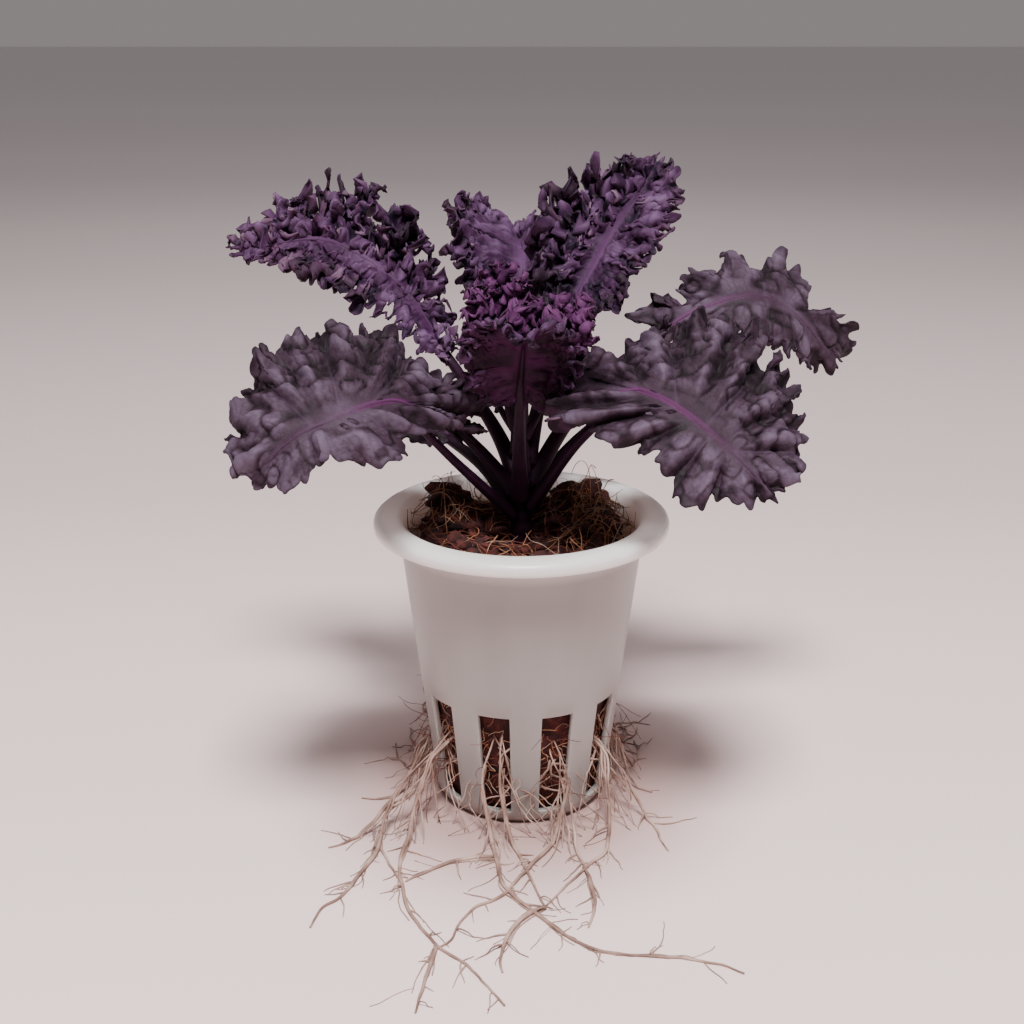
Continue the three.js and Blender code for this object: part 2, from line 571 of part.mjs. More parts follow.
Object.entries(LEAVES).forEach(([name, leaf]) => {
  place(name, mainBody(clearOfOthers(makeLeaf(leaf, 0))), 'leaf');
  taken.push(makeLeaf(leaf, LEAF_GAP));
});
const heart = HEART.map((leaf) => makeLeaf(leaf, 0)).reduce((a, b) => a.add(b));
place('heart_leaves', mainBody(clearOfOthers(heart)), 'heart');

Object.entries(ROOTS).forEach(([name, strands]) => place(name, makeRoots(strands), 'root'));

export default group;
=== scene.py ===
"""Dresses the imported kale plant: curly purple leaves on their stalks, coir, bare roots and a net pot.

Lengths are in millimetres while a mesh is worked out, and are turned to metres when it is made. The studio's lamps
and floor are in metres.
"""
import logging
import math
from dataclasses import dataclass
from enum import Enum

import bmesh
import bpy
import numpy as np
from mathutils import Matrix, Vector


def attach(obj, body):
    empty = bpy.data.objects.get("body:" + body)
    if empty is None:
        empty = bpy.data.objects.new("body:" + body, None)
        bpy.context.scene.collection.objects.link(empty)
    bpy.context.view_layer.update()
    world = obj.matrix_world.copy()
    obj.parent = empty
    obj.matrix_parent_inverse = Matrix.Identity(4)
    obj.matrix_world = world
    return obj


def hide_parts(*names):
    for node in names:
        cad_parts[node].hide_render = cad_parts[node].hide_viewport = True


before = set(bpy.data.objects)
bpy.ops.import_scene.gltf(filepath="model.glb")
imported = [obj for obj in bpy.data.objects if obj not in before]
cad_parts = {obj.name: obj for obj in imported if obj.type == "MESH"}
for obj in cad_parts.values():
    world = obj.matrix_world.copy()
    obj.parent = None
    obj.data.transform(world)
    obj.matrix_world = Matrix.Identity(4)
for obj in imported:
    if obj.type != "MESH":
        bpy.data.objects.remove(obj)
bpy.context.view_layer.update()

log = logging.getLogger("kale")
MM = 0.001
Point = tuple[float, ...]

# the usual sine hash: its weight for each axis, its step for each seed, and its scale
HASH_WEIGHTS = (12.9898, 78.233, 37.719)
HASH_STEP = 4.371
HASH_SCALE = 43758.5453

# the Mix node's sockets for colours, which share their names with its other sockets
MIX_FACTOR, MIX_FIRST, MIX_SECOND, MIX_RESULT = 0, 6, 7, 2


# ---------------------------------------------------------------- numbers


def linear(colour: str) -> tuple[float, float, float, float]:
    """Turns an sRGB colour into a linear one.

    Args:
        colour: The colour in hex, as in "#33212f".

    Returns:
        Its red, green, blue and alpha, from 0 to 1.
    """
    values = [int(colour[i:i + 2], 16) / 255 for i in (1, 3, 5)]
    turned = [v / 12.92 if v <= 0.04045 else ((v + 0.055) / 1.055) ** 2.4 for v in values]
    return (*turned, 1.0)


def unit(vectors: np.ndarray) -> np.ndarray:
    """Scales vectors to a length of one."""
    length = np.linalg.norm(vectors, axis=-1, keepdims=True)
    return vectors / np.maximum(length, 1e-12)


def smoothstep(x: np.ndarray, low: float, high: float) -> np.ndarray:
    """Rises smoothly from 0 at low to 1 at high."""
    s = np.clip((np.asarray(x, float) - low) / (high - low), 0, 1)
    return s * s * (3 - 2 * s)


def steady(a: float, b: float) -> float:
    """A steady value from 0 to 1 for a pair of numbers."""
    x = math.sin(a * HASH_WEIGHTS[0] + b * HASH_WEIGHTS[1]) * HASH_SCALE
    return x - math.floor(x)


def between(a: np.ndarray, b: np.ndarray, c: np.ndarray, d: np.ndarray, s: np.ndarray) -> np.ndarray:
    """A smooth curve's value at a share s of the way from b to c, with a before them and d after them."""
    return 0.5 * (2 * b + (c - a) * s + (2 * a - 5 * b + 4 * c - d) * s**2 + (3 * b - a - 3 * c + d) * s**3)


def sample(values: tuple[float, ...], x: np.ndarray) -> np.ndarray:
    """Reads a smooth curve through evenly spaced values.

    Args:
        values: The values that the curve passes through.
        x: Where to read it, from 0 to 1.

    Returns:
        The curve's value at each x.
    """
    v = np.array([2 * values[0] - values[1], *values, 2 * values[-1] - values[-2]])
    scaled = np.clip(x, 0, 1) * (len(values) - 1)
    i = np.minimum(scaled.astype(int), len(values) - 2)
    return between(v[i], v[i + 1], v[i + 2], v[i + 3], scaled - i)


def smooth_curve(points: list[Point] | np.ndarray, count: int) -> np.ndarray:
    """Spaces points evenly along a smooth curve.

    Args:
        points: The points that the curve passes through.
        count: How many equal steps it is cut into.

    Returns:
        An array of count + 1 points.
    """
    p = np.asarray(points, float)
    p = np.vstack([2 * p[0] - p[1], p, 2 * p[-1] - p[-2]])
    s = np.linspace(0, 1, 40, endpoint=False)[:, None]      # fine enough to measure along
    parts = [between(a, b, c, d, s) for a, b, c, d in zip(p, p[1:], p[2:], p[3:])]
    fine = np.vstack([*parts, p[-2]])
    reach = np.r_[0, np.cumsum(np.linalg.norm(np.diff(fine, axis=0), axis=1))]
    at = np.linspace(0, reach[-1], count + 1)
    return np.stack([np.interp(at, reach, fine[:, k]) for k in range(3)], 1)


def path_length(points: np.ndarray) -> float:
    """The length of a line through points."""
    return float(np.linalg.norm(np.diff(points, axis=0), axis=1).sum())


def scatter(lattice: np.ndarray, seed: int) -> np.ndarray:
    """Draws a steady value for each place on a lattice.

    Args:
        lattice: Whole numbers, two or three for each place, in their last axis.
        seed: Gives other values.

    Returns:
        A value from 0 to 1 for each place.
    """
    weights = np.array(HASH_WEIGHTS)[: lattice.shape[-1]]
    x = np.sin(lattice @ weights + seed * HASH_STEP) * HASH_SCALE
    return x - np.floor(x)


def lumps(points: np.ndarray, size: float, seed: int) -> np.ndarray:
    """Smooth noise from -1 to 1.

    Args:
        points: Points in two or three dimensions, in their last axis.
        size: The distance between its lumps.
        seed: Sets where the lumps fall.

    Returns:
        One value for each point.
    """
    p = points / size
    base = np.floor(p)
    part = p - base
    part = part * part * (3 - 2 * part)
    total = np.zeros(p.shape[:-1])
    axes = p.shape[-1]
    for corner in np.ndindex(*(2,) * axes):
        offset = np.array(corner)
        weight = np.prod(np.where(offset == 1, part, 1 - part), axis=-1)
        total += weight * scatter(base + offset, seed)
    return 2 * total - 1


def cells(points: np.ndarray, size: float, seed: int) -> tuple[np.ndarray, np.ndarray]:
    """Splits a plane into uneven cells, as the blisters of a leaf do.

    Args:
        points: Points in two dimensions, in their last axis.
        size: The usual width of a cell.
        seed: Sets where the cells fall.

    Returns:
        How far each point is inside its cell, 0 at its edge, and a steady value for its cell.
    """
    p = points / size
    base = np.floor(p)
    nearest = np.full(p.shape[:-1], 9.0)      # farther than any cell's middle
    second = nearest.copy()
    shade = np.zeros(p.shape[:-1])
    for dx in (-1, 0, 1):
        for dy in (-1, 0, 1):
            cell = base + (dx, dy)
            # its middle strays, but no nearer to the lattice's lines than 0.12 of a cell
            jitter = np.stack([scatter(cell, seed), scatter(cell, seed + 17)], -1)
            away = np.linalg.norm(cell + 0.12 + 0.76 * jitter - p, axis=-1)
            closer = away < nearest
            second = np.where(closer, nearest, np.minimum(second, away))
            shade = np.where(closer, scatter(cell, seed + 31), shade)
            nearest = np.where(closer, away, nearest)
    return second - nearest, shade


# ---------------------------------------------------------------- meshes and pieces


def set_inputs(tree: bpy.types.NodeTree, node: bpy.types.Node, inputs: dict) -> None:
    """Sets and links a node's inputs.

    Args:
        tree: The tree that the node is in.
        node: The node.
        inputs: A value, a hex colour or a socket to link for each input, by its name or number.
    """
    for key, value in inputs.items():
        if isinstance(value, bpy.types.NodeSocket):
            tree.links.new(value, node.inputs[key])
        else:
            node.inputs[key].default_value = linear(value) if isinstance(value, str) else value


def add_node(tree: bpy.types.NodeTree, kind: str, inputs: dict | None = None,
             stops: tuple[tuple[float, str], ...] = (), **settings) -> bpy.types.Node:
    """Adds a shader node.

    Args:
        tree: The material's node tree.
        kind: The node's type.
        inputs: A value, a hex colour or a socket to link for each input, by its name or number.
        stops: A colour ramp's places and hex colours.
        **settings: The node's own properties.

    Returns:
        The new node.
    """
    node = tree.nodes.new(kind)
    for key, value in settings.items():
        setattr(node, key, value)
    set_inputs(tree, node, inputs or {})
    if stops:
        elements = node.color_ramp.elements
        while len(elements) < len(stops):
            elements.new(0.5)
        for element, (place, colour) in zip(elements, stops):
            element.position = place
            element.color = linear(colour)
    return node


def new_material(name: str) -> tuple[bpy.types.Material, bpy.types.NodeTree, bpy.types.Node]:
    """Starts a material.

    Args:
        name: The material's name.

    Returns:
        The material, its node tree and its one Principled shader.
    """
    material = bpy.data.materials.new(name)
    material.use_nodes = True
    tree = material.node_tree
    return material, tree, tree.nodes["Principled BSDF"]


def publish(name: str, mesh: bpy.types.Mesh, materials: list[bpy.types.Material], slot: str,
            *nodes: str) -> bpy.types.Object:
    """Places a finished mesh in the scene as a piece of the plant.

    Args:
        name: The piece's name.
        mesh: Its mesh, in metres.
        materials: Its materials, in the order of its faces' numbers.
        slot: A material slot's name; not used.
        *nodes: The CAD nodes that it stands for.

    Returns:
        The new object.
    """
    mesh.name = name
    mesh.materials.clear()
    for material in materials:
        mesh.materials.append(material)
    piece = bpy.data.objects.new(name, mesh)
    bpy.context.scene.collection.objects.link(piece)
    mesh.shade_smooth()
    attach(piece, "root")
    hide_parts(*nodes)
    log.info("%s: %d faces", name, len(mesh.polygons))
    return piece


def grid_mesh(points: np.ndarray, attributes: dict[str, np.ndarray], keep: np.ndarray | None = None,
              uv: bool = False) -> bpy.types.Mesh:
    """Bends a flat grid to a given sheet of points.

    Args:
        points: Rows by columns of points, in millimetres.
        attributes: Values for each point, by name.
        keep: Which points stay, where the sheet has holes.
        uv: Whether the mesh gets a UV map, across and along the sheet.

    Returns:
        The mesh in metres, with points that fall on one another merged.
    """
    rows, cols = points.shape[0] - 1, points.shape[1] - 1
    bm = bmesh.new()
    if uv:
        bm.loops.layers.uv.new("along")
    bmesh.ops.create_grid(bm, x_segments=cols, y_segments=rows, size=1, calc_uvs=uv)
    mesh = bpy.data.meshes.new("sheet")
    bm.to_mesh(mesh)
    flat = np.zeros(len(mesh.vertices) * 3)
    mesh.vertices.foreach_get("co", flat)
    flat = flat.reshape(-1, 3)
    k = np.rint((flat[:, 0] + 1) / 2 * cols).astype(int)
    i = np.rint((flat[:, 1] + 1) / 2 * rows).astype(int)
    mesh.vertices.foreach_set("co", (points[i, k] * MM).ravel())
    for name, values in attributes.items():
        layer = mesh.attributes.new(name, "FLOAT", "POINT")
        layer.data.foreach_set("value", values[i, k].astype(np.float32))
    bm.clear()
    bm.from_mesh(mesh)
    if keep is not None:
        bm.verts.ensure_lookup_table()
        gone = [bm.verts[n] for n in np.flatnonzero(~keep[i, k])]
        bmesh.ops.delete(bm, geom=gone, context="VERTS")
    bmesh.ops.remove_doubles(bm, verts=bm.verts, dist=2e-6)
    bm.to_mesh(mesh)
    bm.free()
    return mesh


def turning_frames(path: np.ndarray) -> tuple[np.ndarray, np.ndarray]:
    """Carries two directions along a path, square to it and without twist.

    Args:
        path: The path's points.

    Returns:
        The first and the second direction at each point.
    """
    tangent = unit(np.gradient(path, axis=0))
    start = np.cross(tangent[0], (0.0, 0.0, 1.0))
    if np.linalg.norm(start) < 0.1:
        start = np.cross(tangent[0], (0.0, 1.0, 0.0))
    first = [unit(start)]
    for direction in tangent[1:]:
        carried = first[-1] - direction * np.dot(first[-1], direction)
        first.append(unit(carried))
    normals = np.array(first)
    return normals, np.cross(tangent, normals)


def tube_sheet(path: np.ndarray, radii: np.ndarray, sides: int, groove: np.ndarray | None = None,
               depth: float = 0.0) -> np.ndarray:
    """Rows of points round a path, closed at both ends.

    Args:
        path: The points along its middle.
        radii: Its radius at each of them.
        sides: How many points stand round it.
        groove: The direction that a shallow groove faces, at each point of the path.
        depth: The groove's depth as a share of the radius.

    Returns:
        Rows of sides + 1 points each, the last on the first.
    """
    normals, binormals = turning_frames(path)
    angle = np.linspace(0, 2 * np.pi, sides + 1)
    ring = normals[:, None] * np.cos(angle)[None, :, None] + binormals[:, None] * np.sin(angle)[None, :, None]
    size = np.repeat(radii[:, None], sides + 1, 1)
    if groove is not None:
        facing = np.clip(np.einsum("ikj,ij->ik", ring, groove), 0, 1)
        size = size * (1 - depth * facing**3)
    rows = path[:, None] + ring * size[:, :, None]
    rows[:, -1] = rows[:, 0]
    first = np.repeat(path[:1, None], sides + 1, 1)
    last = np.repeat(path[-1:, None], sides + 1, 1)
    return np.vstack([first, rows, last])


class Strands:
    """A bundle of thin round strands, drawn as one curve and turned into one mesh."""

    def __init__(self, roundness: int = 0) -> None:
        """Starts an empty bundle.

        Args:
            roundness: How many more points each quarter of a strand's section has than its two ends.
        """
        self.curve = bpy.data.curves.new("strands", "CURVE")
        self.curve.dimensions = "3D"
        self.curve.bevel_depth = MM
        self.curve.bevel_resolution = roundness
        self.curve.use_fill_caps = True

    def add(self, path: np.ndarray, radii: np.ndarray) -> None:
        """Adds a strand.

        Args:
            path: Its points in millimetres.
            radii: Its radius at each of them.
        """
        spline = self.curve.splines.new("POLY")
        spline.points.add(len(path) - 1)
        places = np.hstack([path * MM, np.ones((len(path), 1))])
        spline.points.foreach_set("co", places.ravel())
        spline.points.foreach_set("radius", np.asarray(radii, float))

    def mesh(self) -> bpy.types.Mesh:
        """Turns the bundle into one mesh.

        Returns:
            The mesh, in metres, with every strand closed.
        """
        holder = bpy.data.objects.new("strands", self.curve)
        bpy.context.scene.collection.objects.link(holder)
        graph = bpy.context.evaluated_depsgraph_get()
        mesh = bpy.data.meshes.new_from_object(holder.evaluated_get(graph))
        bpy.data.objects.remove(holder)
        bpy.data.curves.remove(self.curve)
        bm = bmesh.new()
        bm.from_mesh(mesh)
        bmesh.ops.remove_doubles(bm, verts=bm.verts, dist=1e-6)
        bmesh.ops.recalc_face_normals(bm, faces=bm.faces)
        bm.to_mesh(mesh)
        bm.free()
        return mesh


# ---------------------------------------------------------------- finishes


@dataclass(frozen=True)
class BladeFinish:
    """Kale leaf skin: waxy, so it is satin with a powdery bloom over dark purple."""

    name: str
    hollow_shade: str              # painted shade in the folds and between blisters
    body: str
    bloom_and_painted_light: str               # the bloom on the smooth parts by the midrib, and painted light on top of blisters and on what stands up
    vein: str                # lateral veins
    midrib: str
    margin: str              # the thin edge
    roughness: float = 0.64
    sheen: float = 0.06

    def build(self) -> bpy.types.Material:
        """Makes the material from the blade's own attributes.

        Returns:
            The material.
        """
        material, tree, shader = new_material(self.name)
        where = add_node(tree, "ShaderNodeTexCoord").outputs["Object"]
        # a mottle of 4 mm and a fine grain of 0.6 mm keep the bloom uneven, as wax that has been touched
        mottle, grain = (
            add_node(tree, "ShaderNodeTexNoise",
                     {"Vector": where, "Scale": 1 / (size * MM), "Detail": detail}).outputs["Fac"]
            for size, detail in ((4.0, 4.0), (0.6, 2.0)))
        # the tone holds the bloom and the leaf's darker edge, and also painted light and shade on its blisters, creases
        # and folds
        tone = add_node(tree, "ShaderNodeAttribute", attribute_name="tone").outputs["Fac"]
        for noise, amount in ((mottle, 0.34), (grain, 0.2)):
            shift = add_node(tree, "ShaderNodeMath", {0: noise, 1: amount, 2: -amount / 2}, operation="MULTIPLY_ADD")
            tone = add_node(tree, "ShaderNodeMath", {0: tone, 1: shift.outputs[0]}, operation="ADD").outputs[0]
        stops = ((0.05, self.hollow_shade), (0.42, self.body), (0.95, self.bloom_and_painted_light))
        colour = add_node(tree, "ShaderNodeValToRGB", {"Fac": tone}, stops).outputs["Color"]
        for name, over in (("edge", self.margin), ("vein", self.vein), ("midrib", self.midrib)):
            share = add_node(tree, "ShaderNodeAttribute", attribute_name=name).outputs["Fac"]
            colour = add_node(tree, "ShaderNodeMix", {MIX_FACTOR: share, MIX_FIRST: colour, MIX_SECOND: over},
                              data_type="RGBA").outputs[MIX_RESULT]
        # wax that is thinner in places shines a little more there
        rough = add_node(tree, "ShaderNodeMapRange",
                         {"Value": mottle, "To Min": self.roughness - 0.1, "To Max": self.roughness + 0.1})
        height = add_node(tree, "ShaderNodeMath", {0: mottle, 1: 2.0, 2: grain}, operation="MULTIPLY_ADD").outputs[0]
        bump = add_node(tree, "ShaderNodeBump", {"Strength": 0.35, "Distance": 0.25 * MM, "Height": height})
        set_inputs(tree, shader, {
            "Base Color": colour, "Roughness": rough.outputs[0], "Normal": bump.outputs[0], "IOR": 1.35,
            "Specular IOR Level": 0.3, "Sheen Weight": self.sheen, "Sheen Roughness": 0.45, "Sheen Tint": "#b9a9be"})
        return material


@dataclass(frozen=True)
class StalkFinish:
    """Kale stalk skin: smooth and taut, dark wine purple, streaked along its length."""

    name: str
    dark: str
    light: str
    roughness: float = 0.52

    def build(self) -> bpy.types.Material:
        """Makes the material, with streaks on the stalk's UV map.

        Returns:
            The material.
        """
        material, tree, shader = new_material(self.name)
        where = add_node(tree, "ShaderNodeTexCoord")
        # 14 streaks round the stalk and 3 along it, with a mottle of 2.5 mm
        mapping = add_node(tree, "ShaderNodeMapping", {"Vector": where.outputs["UV"], "Scale": (14, 3, 1)})
        streak, mottle = (
            add_node(tree, "ShaderNodeTexNoise", {"Vector": vector, "Scale": scale, "Detail": 3.0}).outputs["Fac"]
            for vector, scale in ((mapping.outputs[0], 1.0), (where.outputs["Object"], 1 / (2.5 * MM))))
        mixed = add_node(tree, "ShaderNodeMath", {0: streak, 1: mottle}, operation="MULTIPLY").outputs[0]
        stops = ((0.12, self.dark), (0.45, self.light))
        streaked = add_node(tree, "ShaderNodeValToRGB", {"Fac": mixed}, stops).outputs["Color"]
        # the stalks darken towards the stem, over 62 to 84 mm
        place = add_node(tree, "ShaderNodeSeparateXYZ", {0: where.outputs["Object"]}).outputs["Z"]
        shade = add_node(tree, "ShaderNodeMapRange",
                         {"Value": place, "From Min": 62 * MM, "From Max": 84 * MM, "To Min": 0.75, "To Max": 0.0})
        colour = add_node(tree, "ShaderNodeMix",
                          {MIX_FACTOR: shade.outputs[0], MIX_FIRST: streaked, MIX_SECOND: self.dark},
                          data_type="RGBA").outputs[MIX_RESULT]
        bump = add_node(tree, "ShaderNodeBump", {"Strength": 0.3, "Distance": 0.12 * MM, "Height": streak})
        set_inputs(tree, shader, {"Base Color": colour, "Normal": bump.outputs[0], "Roughness": self.roughness,
                                  "IOR": 1.38, "Specular IOR Level": 0.22})
        return material


@dataclass(frozen=True)
class FibreFinish:
    """Plant fibre, matt and uneven in colour from strand to strand: coir husk or bare root."""

    name: str
    dark: str
    middle: str
    light: str
    size: float              # width of the colour patches, mm
    roughness: float = 0.8
    relief: float = 0.15     # depth of the surface grain, mm

    def build(self) -> bpy.types.Material:
        """Makes the material on object coordinates.

        Returns:
            The material.
        """
        material, tree, shader = new_material(self.name)
        where = add_node(tree, "ShaderNodeTexCoord").outputs["Object"]
        # patches of colour, and a grain of 0.5 mm, coarser than a fibre's own so that it shows
        patches, grain = (
            add_node(tree, "ShaderNodeTexNoise",
                     {"Vector": where, "Scale": 1 / (size * MM), "Detail": detail}).outputs["Fac"]
            for size, detail in ((self.size, 4.0), (0.5, 3.0)))
        stops = ((0.3, self.dark), (0.5, self.middle), (0.68, self.light))
        colour = add_node(tree, "ShaderNodeValToRGB", {"Fac": patches}, stops).outputs["Color"]
        bump = add_node(tree, "ShaderNodeBump", {"Strength": 0.6, "Distance": self.relief * MM, "Height": grain})
        set_inputs(tree, shader, {"Base Color": colour, "Normal": bump.outputs[0], "Roughness": self.roughness,
                                  "IOR": 1.45})
        return material


@dataclass(frozen=True)
class PotFinish:
    """Injection-moulded polypropylene, off-white: satin, and light sinks a little way into it."""

    name: str = "moulded_polypropylene"
    # the wall's colours are greyed as painted shade, and the rim's is lightened as painted light
    colour: str = "#a49e9b"
    cloud: str = "#9c9693"
    rim: str = "#e4dedb"
    roughness: float = 0.32

    def build(self) -> bpy.types.Material:
        """Makes the material on object coordinates.

        Returns:
            The material.
        """
        material, tree, shader = new_material(self.name)
        where = add_node(tree, "ShaderNodeTexCoord").outputs["Object"]
        # a cloud of 14 mm, drawn out upwards, and the mould's eroded face: a 0.35 mm grain, coarser than the real
        # one so that it shows
        mapping = add_node(tree, "ShaderNodeMapping", {"Vector": where, "Scale": (1, 1, 0.35)}).outputs[0]
        cloud, grain = (
            add_node(tree, "ShaderNodeTexNoise",
                     {"Vector": vector, "Scale": 1 / (size * MM), "Detail": 2.0}).outputs["Fac"]
            for vector, size in ((mapping, 14.0), (where, 0.35)))
        stops = ((0.35, self.cloud), (0.65, self.colour))
        wall = add_node(tree, "ShaderNodeValToRGB", {"Fac": cloud}, stops).outputs["Color"]
        # the wall, up to 60 mm high, is painted darker as painted shade, and the rim above it lighter as painted light
        height = add_node(tree, "ShaderNodeSeparateXYZ", {0: where}).outputs["Z"]
        above = add_node(tree, "ShaderNodeMapRange", {"Value": height, "From Min": 57 * MM, "From Max": 62 * MM})
        colour = add_node(tree, "ShaderNodeMix", {MIX_FACTOR: above.outputs[0], MIX_FIRST: wall, MIX_SECOND: self.rim},
                          data_type="RGBA").outputs[MIX_RESULT]
        rough = add_node(tree, "ShaderNodeMapRange",
                         {"Value": cloud, "To Min": self.roughness - 0.06, "To Max": self.roughness + 0.08})
        relief = add_node(tree, "ShaderNodeMath", {0: cloud, 1: 3.0, 2: grain}, operation="MULTIPLY_ADD").outputs[0]
        bump = add_node(tree, "ShaderNodeBump", {"Strength": 0.12, "Distance": 0.15 * MM, "Height": relief})
        set_inputs(tree, shader, {
            "Base Color": colour, "Roughness": rough.outputs[0], "Normal": bump.outputs[0], "IOR": 1.49,
            "Subsurface Weight": 0.8, "Subsurface Radius": (1.0, 0.9, 0.85), "Subsurface Scale": 4.0 * MM})
        return material


# ---------------------------------------------------------------- net pot


@dataclass
class NetPot:
    """The slotted pot: a tapered cup with a flat flange, a turned-down lip and slots round its foot."""

    height: float = 64.0
    wall: float = 1.2
    base_radius: float = 18.5
    top_radius: float = 26.1
    slots: int = 10
    first_slot: float = 20.4      # degrees from the front towards +X
    slot_half: float = 9.0        # degrees
    slot_low: float = 3.4
    slot_high: float = 26.6
    step: float = 2.0             # degrees between the columns of faces

    @property
    def pitch(self) -> float:
        """Degrees between the middles of two slots."""
        return 360 / self.slots

    def inner(self, z: float) -> float:
        """The radius of the wall's inner face at a height."""
        return self.base_radius + (self.top_radius - self.base_radius) * z / self.height - self.wall

    def profile(self) -> list[tuple[float, float]]:
        """Draws the section of the inner and upper faces.

        Returns:
            Its points' radius and height, from the middle of the floor to the lip's lower edge.
        """
        low, high = self.slot_low, self.slot_high
        # the floor and its rounded corner, the rows of the slots, the wall above them, then the flange and the lip
        points = [(0, 1.2), (4, 1.2), (8, 1.2), (15, 1.2), (16.3, 1.22), (17.0, 1.5), (self.inner(2.4) - 0.03, 2.3)]
        points += [(self.inner(z), z) for z in (low, low + 5.8, low + 11.6, low + 17.4, high)]
        points += [(self.inner(z), z) for z in (31, 40, 50, 57, 60.5, 62)]
        points += [(25.0, 63.0), (25.35, 63.55), (25.95, 63.88), (26.8, 64), (28.4, 64), (29.5, 63.93)]
        points += [(30.25, 63.68), (30.75, 63.22), (31.0, 62.55), (30.98, 61.8), (30.86, 61.2)]
        return points

    def build(self, finish: PotFinish) -> bpy.types.Object:
        """Spins the section, opens the slots and gives the sheet its wall.

        Args:
            finish: The pot's finish.

        Returns:
            The piece.
        """
        bm = bmesh.new()
        start = math.radians(self.first_slot + self.slot_half)
        line = [bm.verts.new((r * math.sin(start), -r * math.cos(start), z)) for r, z in self.profile()]
        edges = [bm.edges.new(pair) for pair in zip(line, line[1:])]
        bmesh.ops.spin(bm, geom=line + edges, cent=(0, 0, 0), axis=(0, 0, 1), angle=2 * math.pi,
                       steps=round(360 / self.step), use_merge=True)
        bmesh.ops.remove_doubles(bm, verts=bm.verts, dist=1e-3)
        opened = [f for f in bm.faces if self.is_open(f.calc_center_median())]
        bmesh.ops.delete(bm, geom=opened, context="FACES")
        bmesh.ops.recalc_face_normals(bm, faces=bm.faces)
        if sum(f.normal.z for f in bm.faces if f.calc_center_median().xy.length < 8) < 0:
            bmesh.ops.reverse_faces(bm, faces=bm.faces)
        bmesh.ops.scale(bm, vec=(MM, MM, MM), verts=bm.verts)
        mesh = bpy.data.meshes.new("pot")
        bm.to_mesh(mesh)
        bm.free()
        pot = publish("net_pot_moulding", mesh, [finish.build()], "pot_plastic", "net_pot")
        shell = pot.modifiers.new("wall", "SOLIDIFY")
        shell.thickness, shell.offset, shell.use_even_offset = self.wall * MM, -1, True
        bevel = pot.modifiers.new("edges", "BEVEL")
        bevel.width, bevel.segments = 0.22 * MM, 3
        bevel.limit_method, bevel.angle_limit = "ANGLE", math.radians(50)
        return pot

    def is_open(self, centre: Vector) -> bool:
        """Whether a face is cut away, for a side slot or for one of the drain slots between them in the floor.

        Args:
            centre: The face's middle.

        Returns:
            True where it is.
        """
        angle = math.degrees(math.atan2(centre.x, -centre.y)) - self.first_slot
        pitch = self.pitch
        away = abs((angle + pitch / 2) % pitch - pitch / 2)
        if self.slot_low < centre.z < self.slot_high:
            return away < self.slot_half
        wide = abs((angle + pitch) % (2 * pitch) - pitch)
        return centre.z < 1.3 and 8 < centre.xy.length < 15 and wide < 7.5


# ---------------------------------------------------------------- coir


class FibreTone(Enum):
    """The colours of loose coir fibre."""

    RUST = "rust"
    GOLD = "gold"
    PALE = "pale"


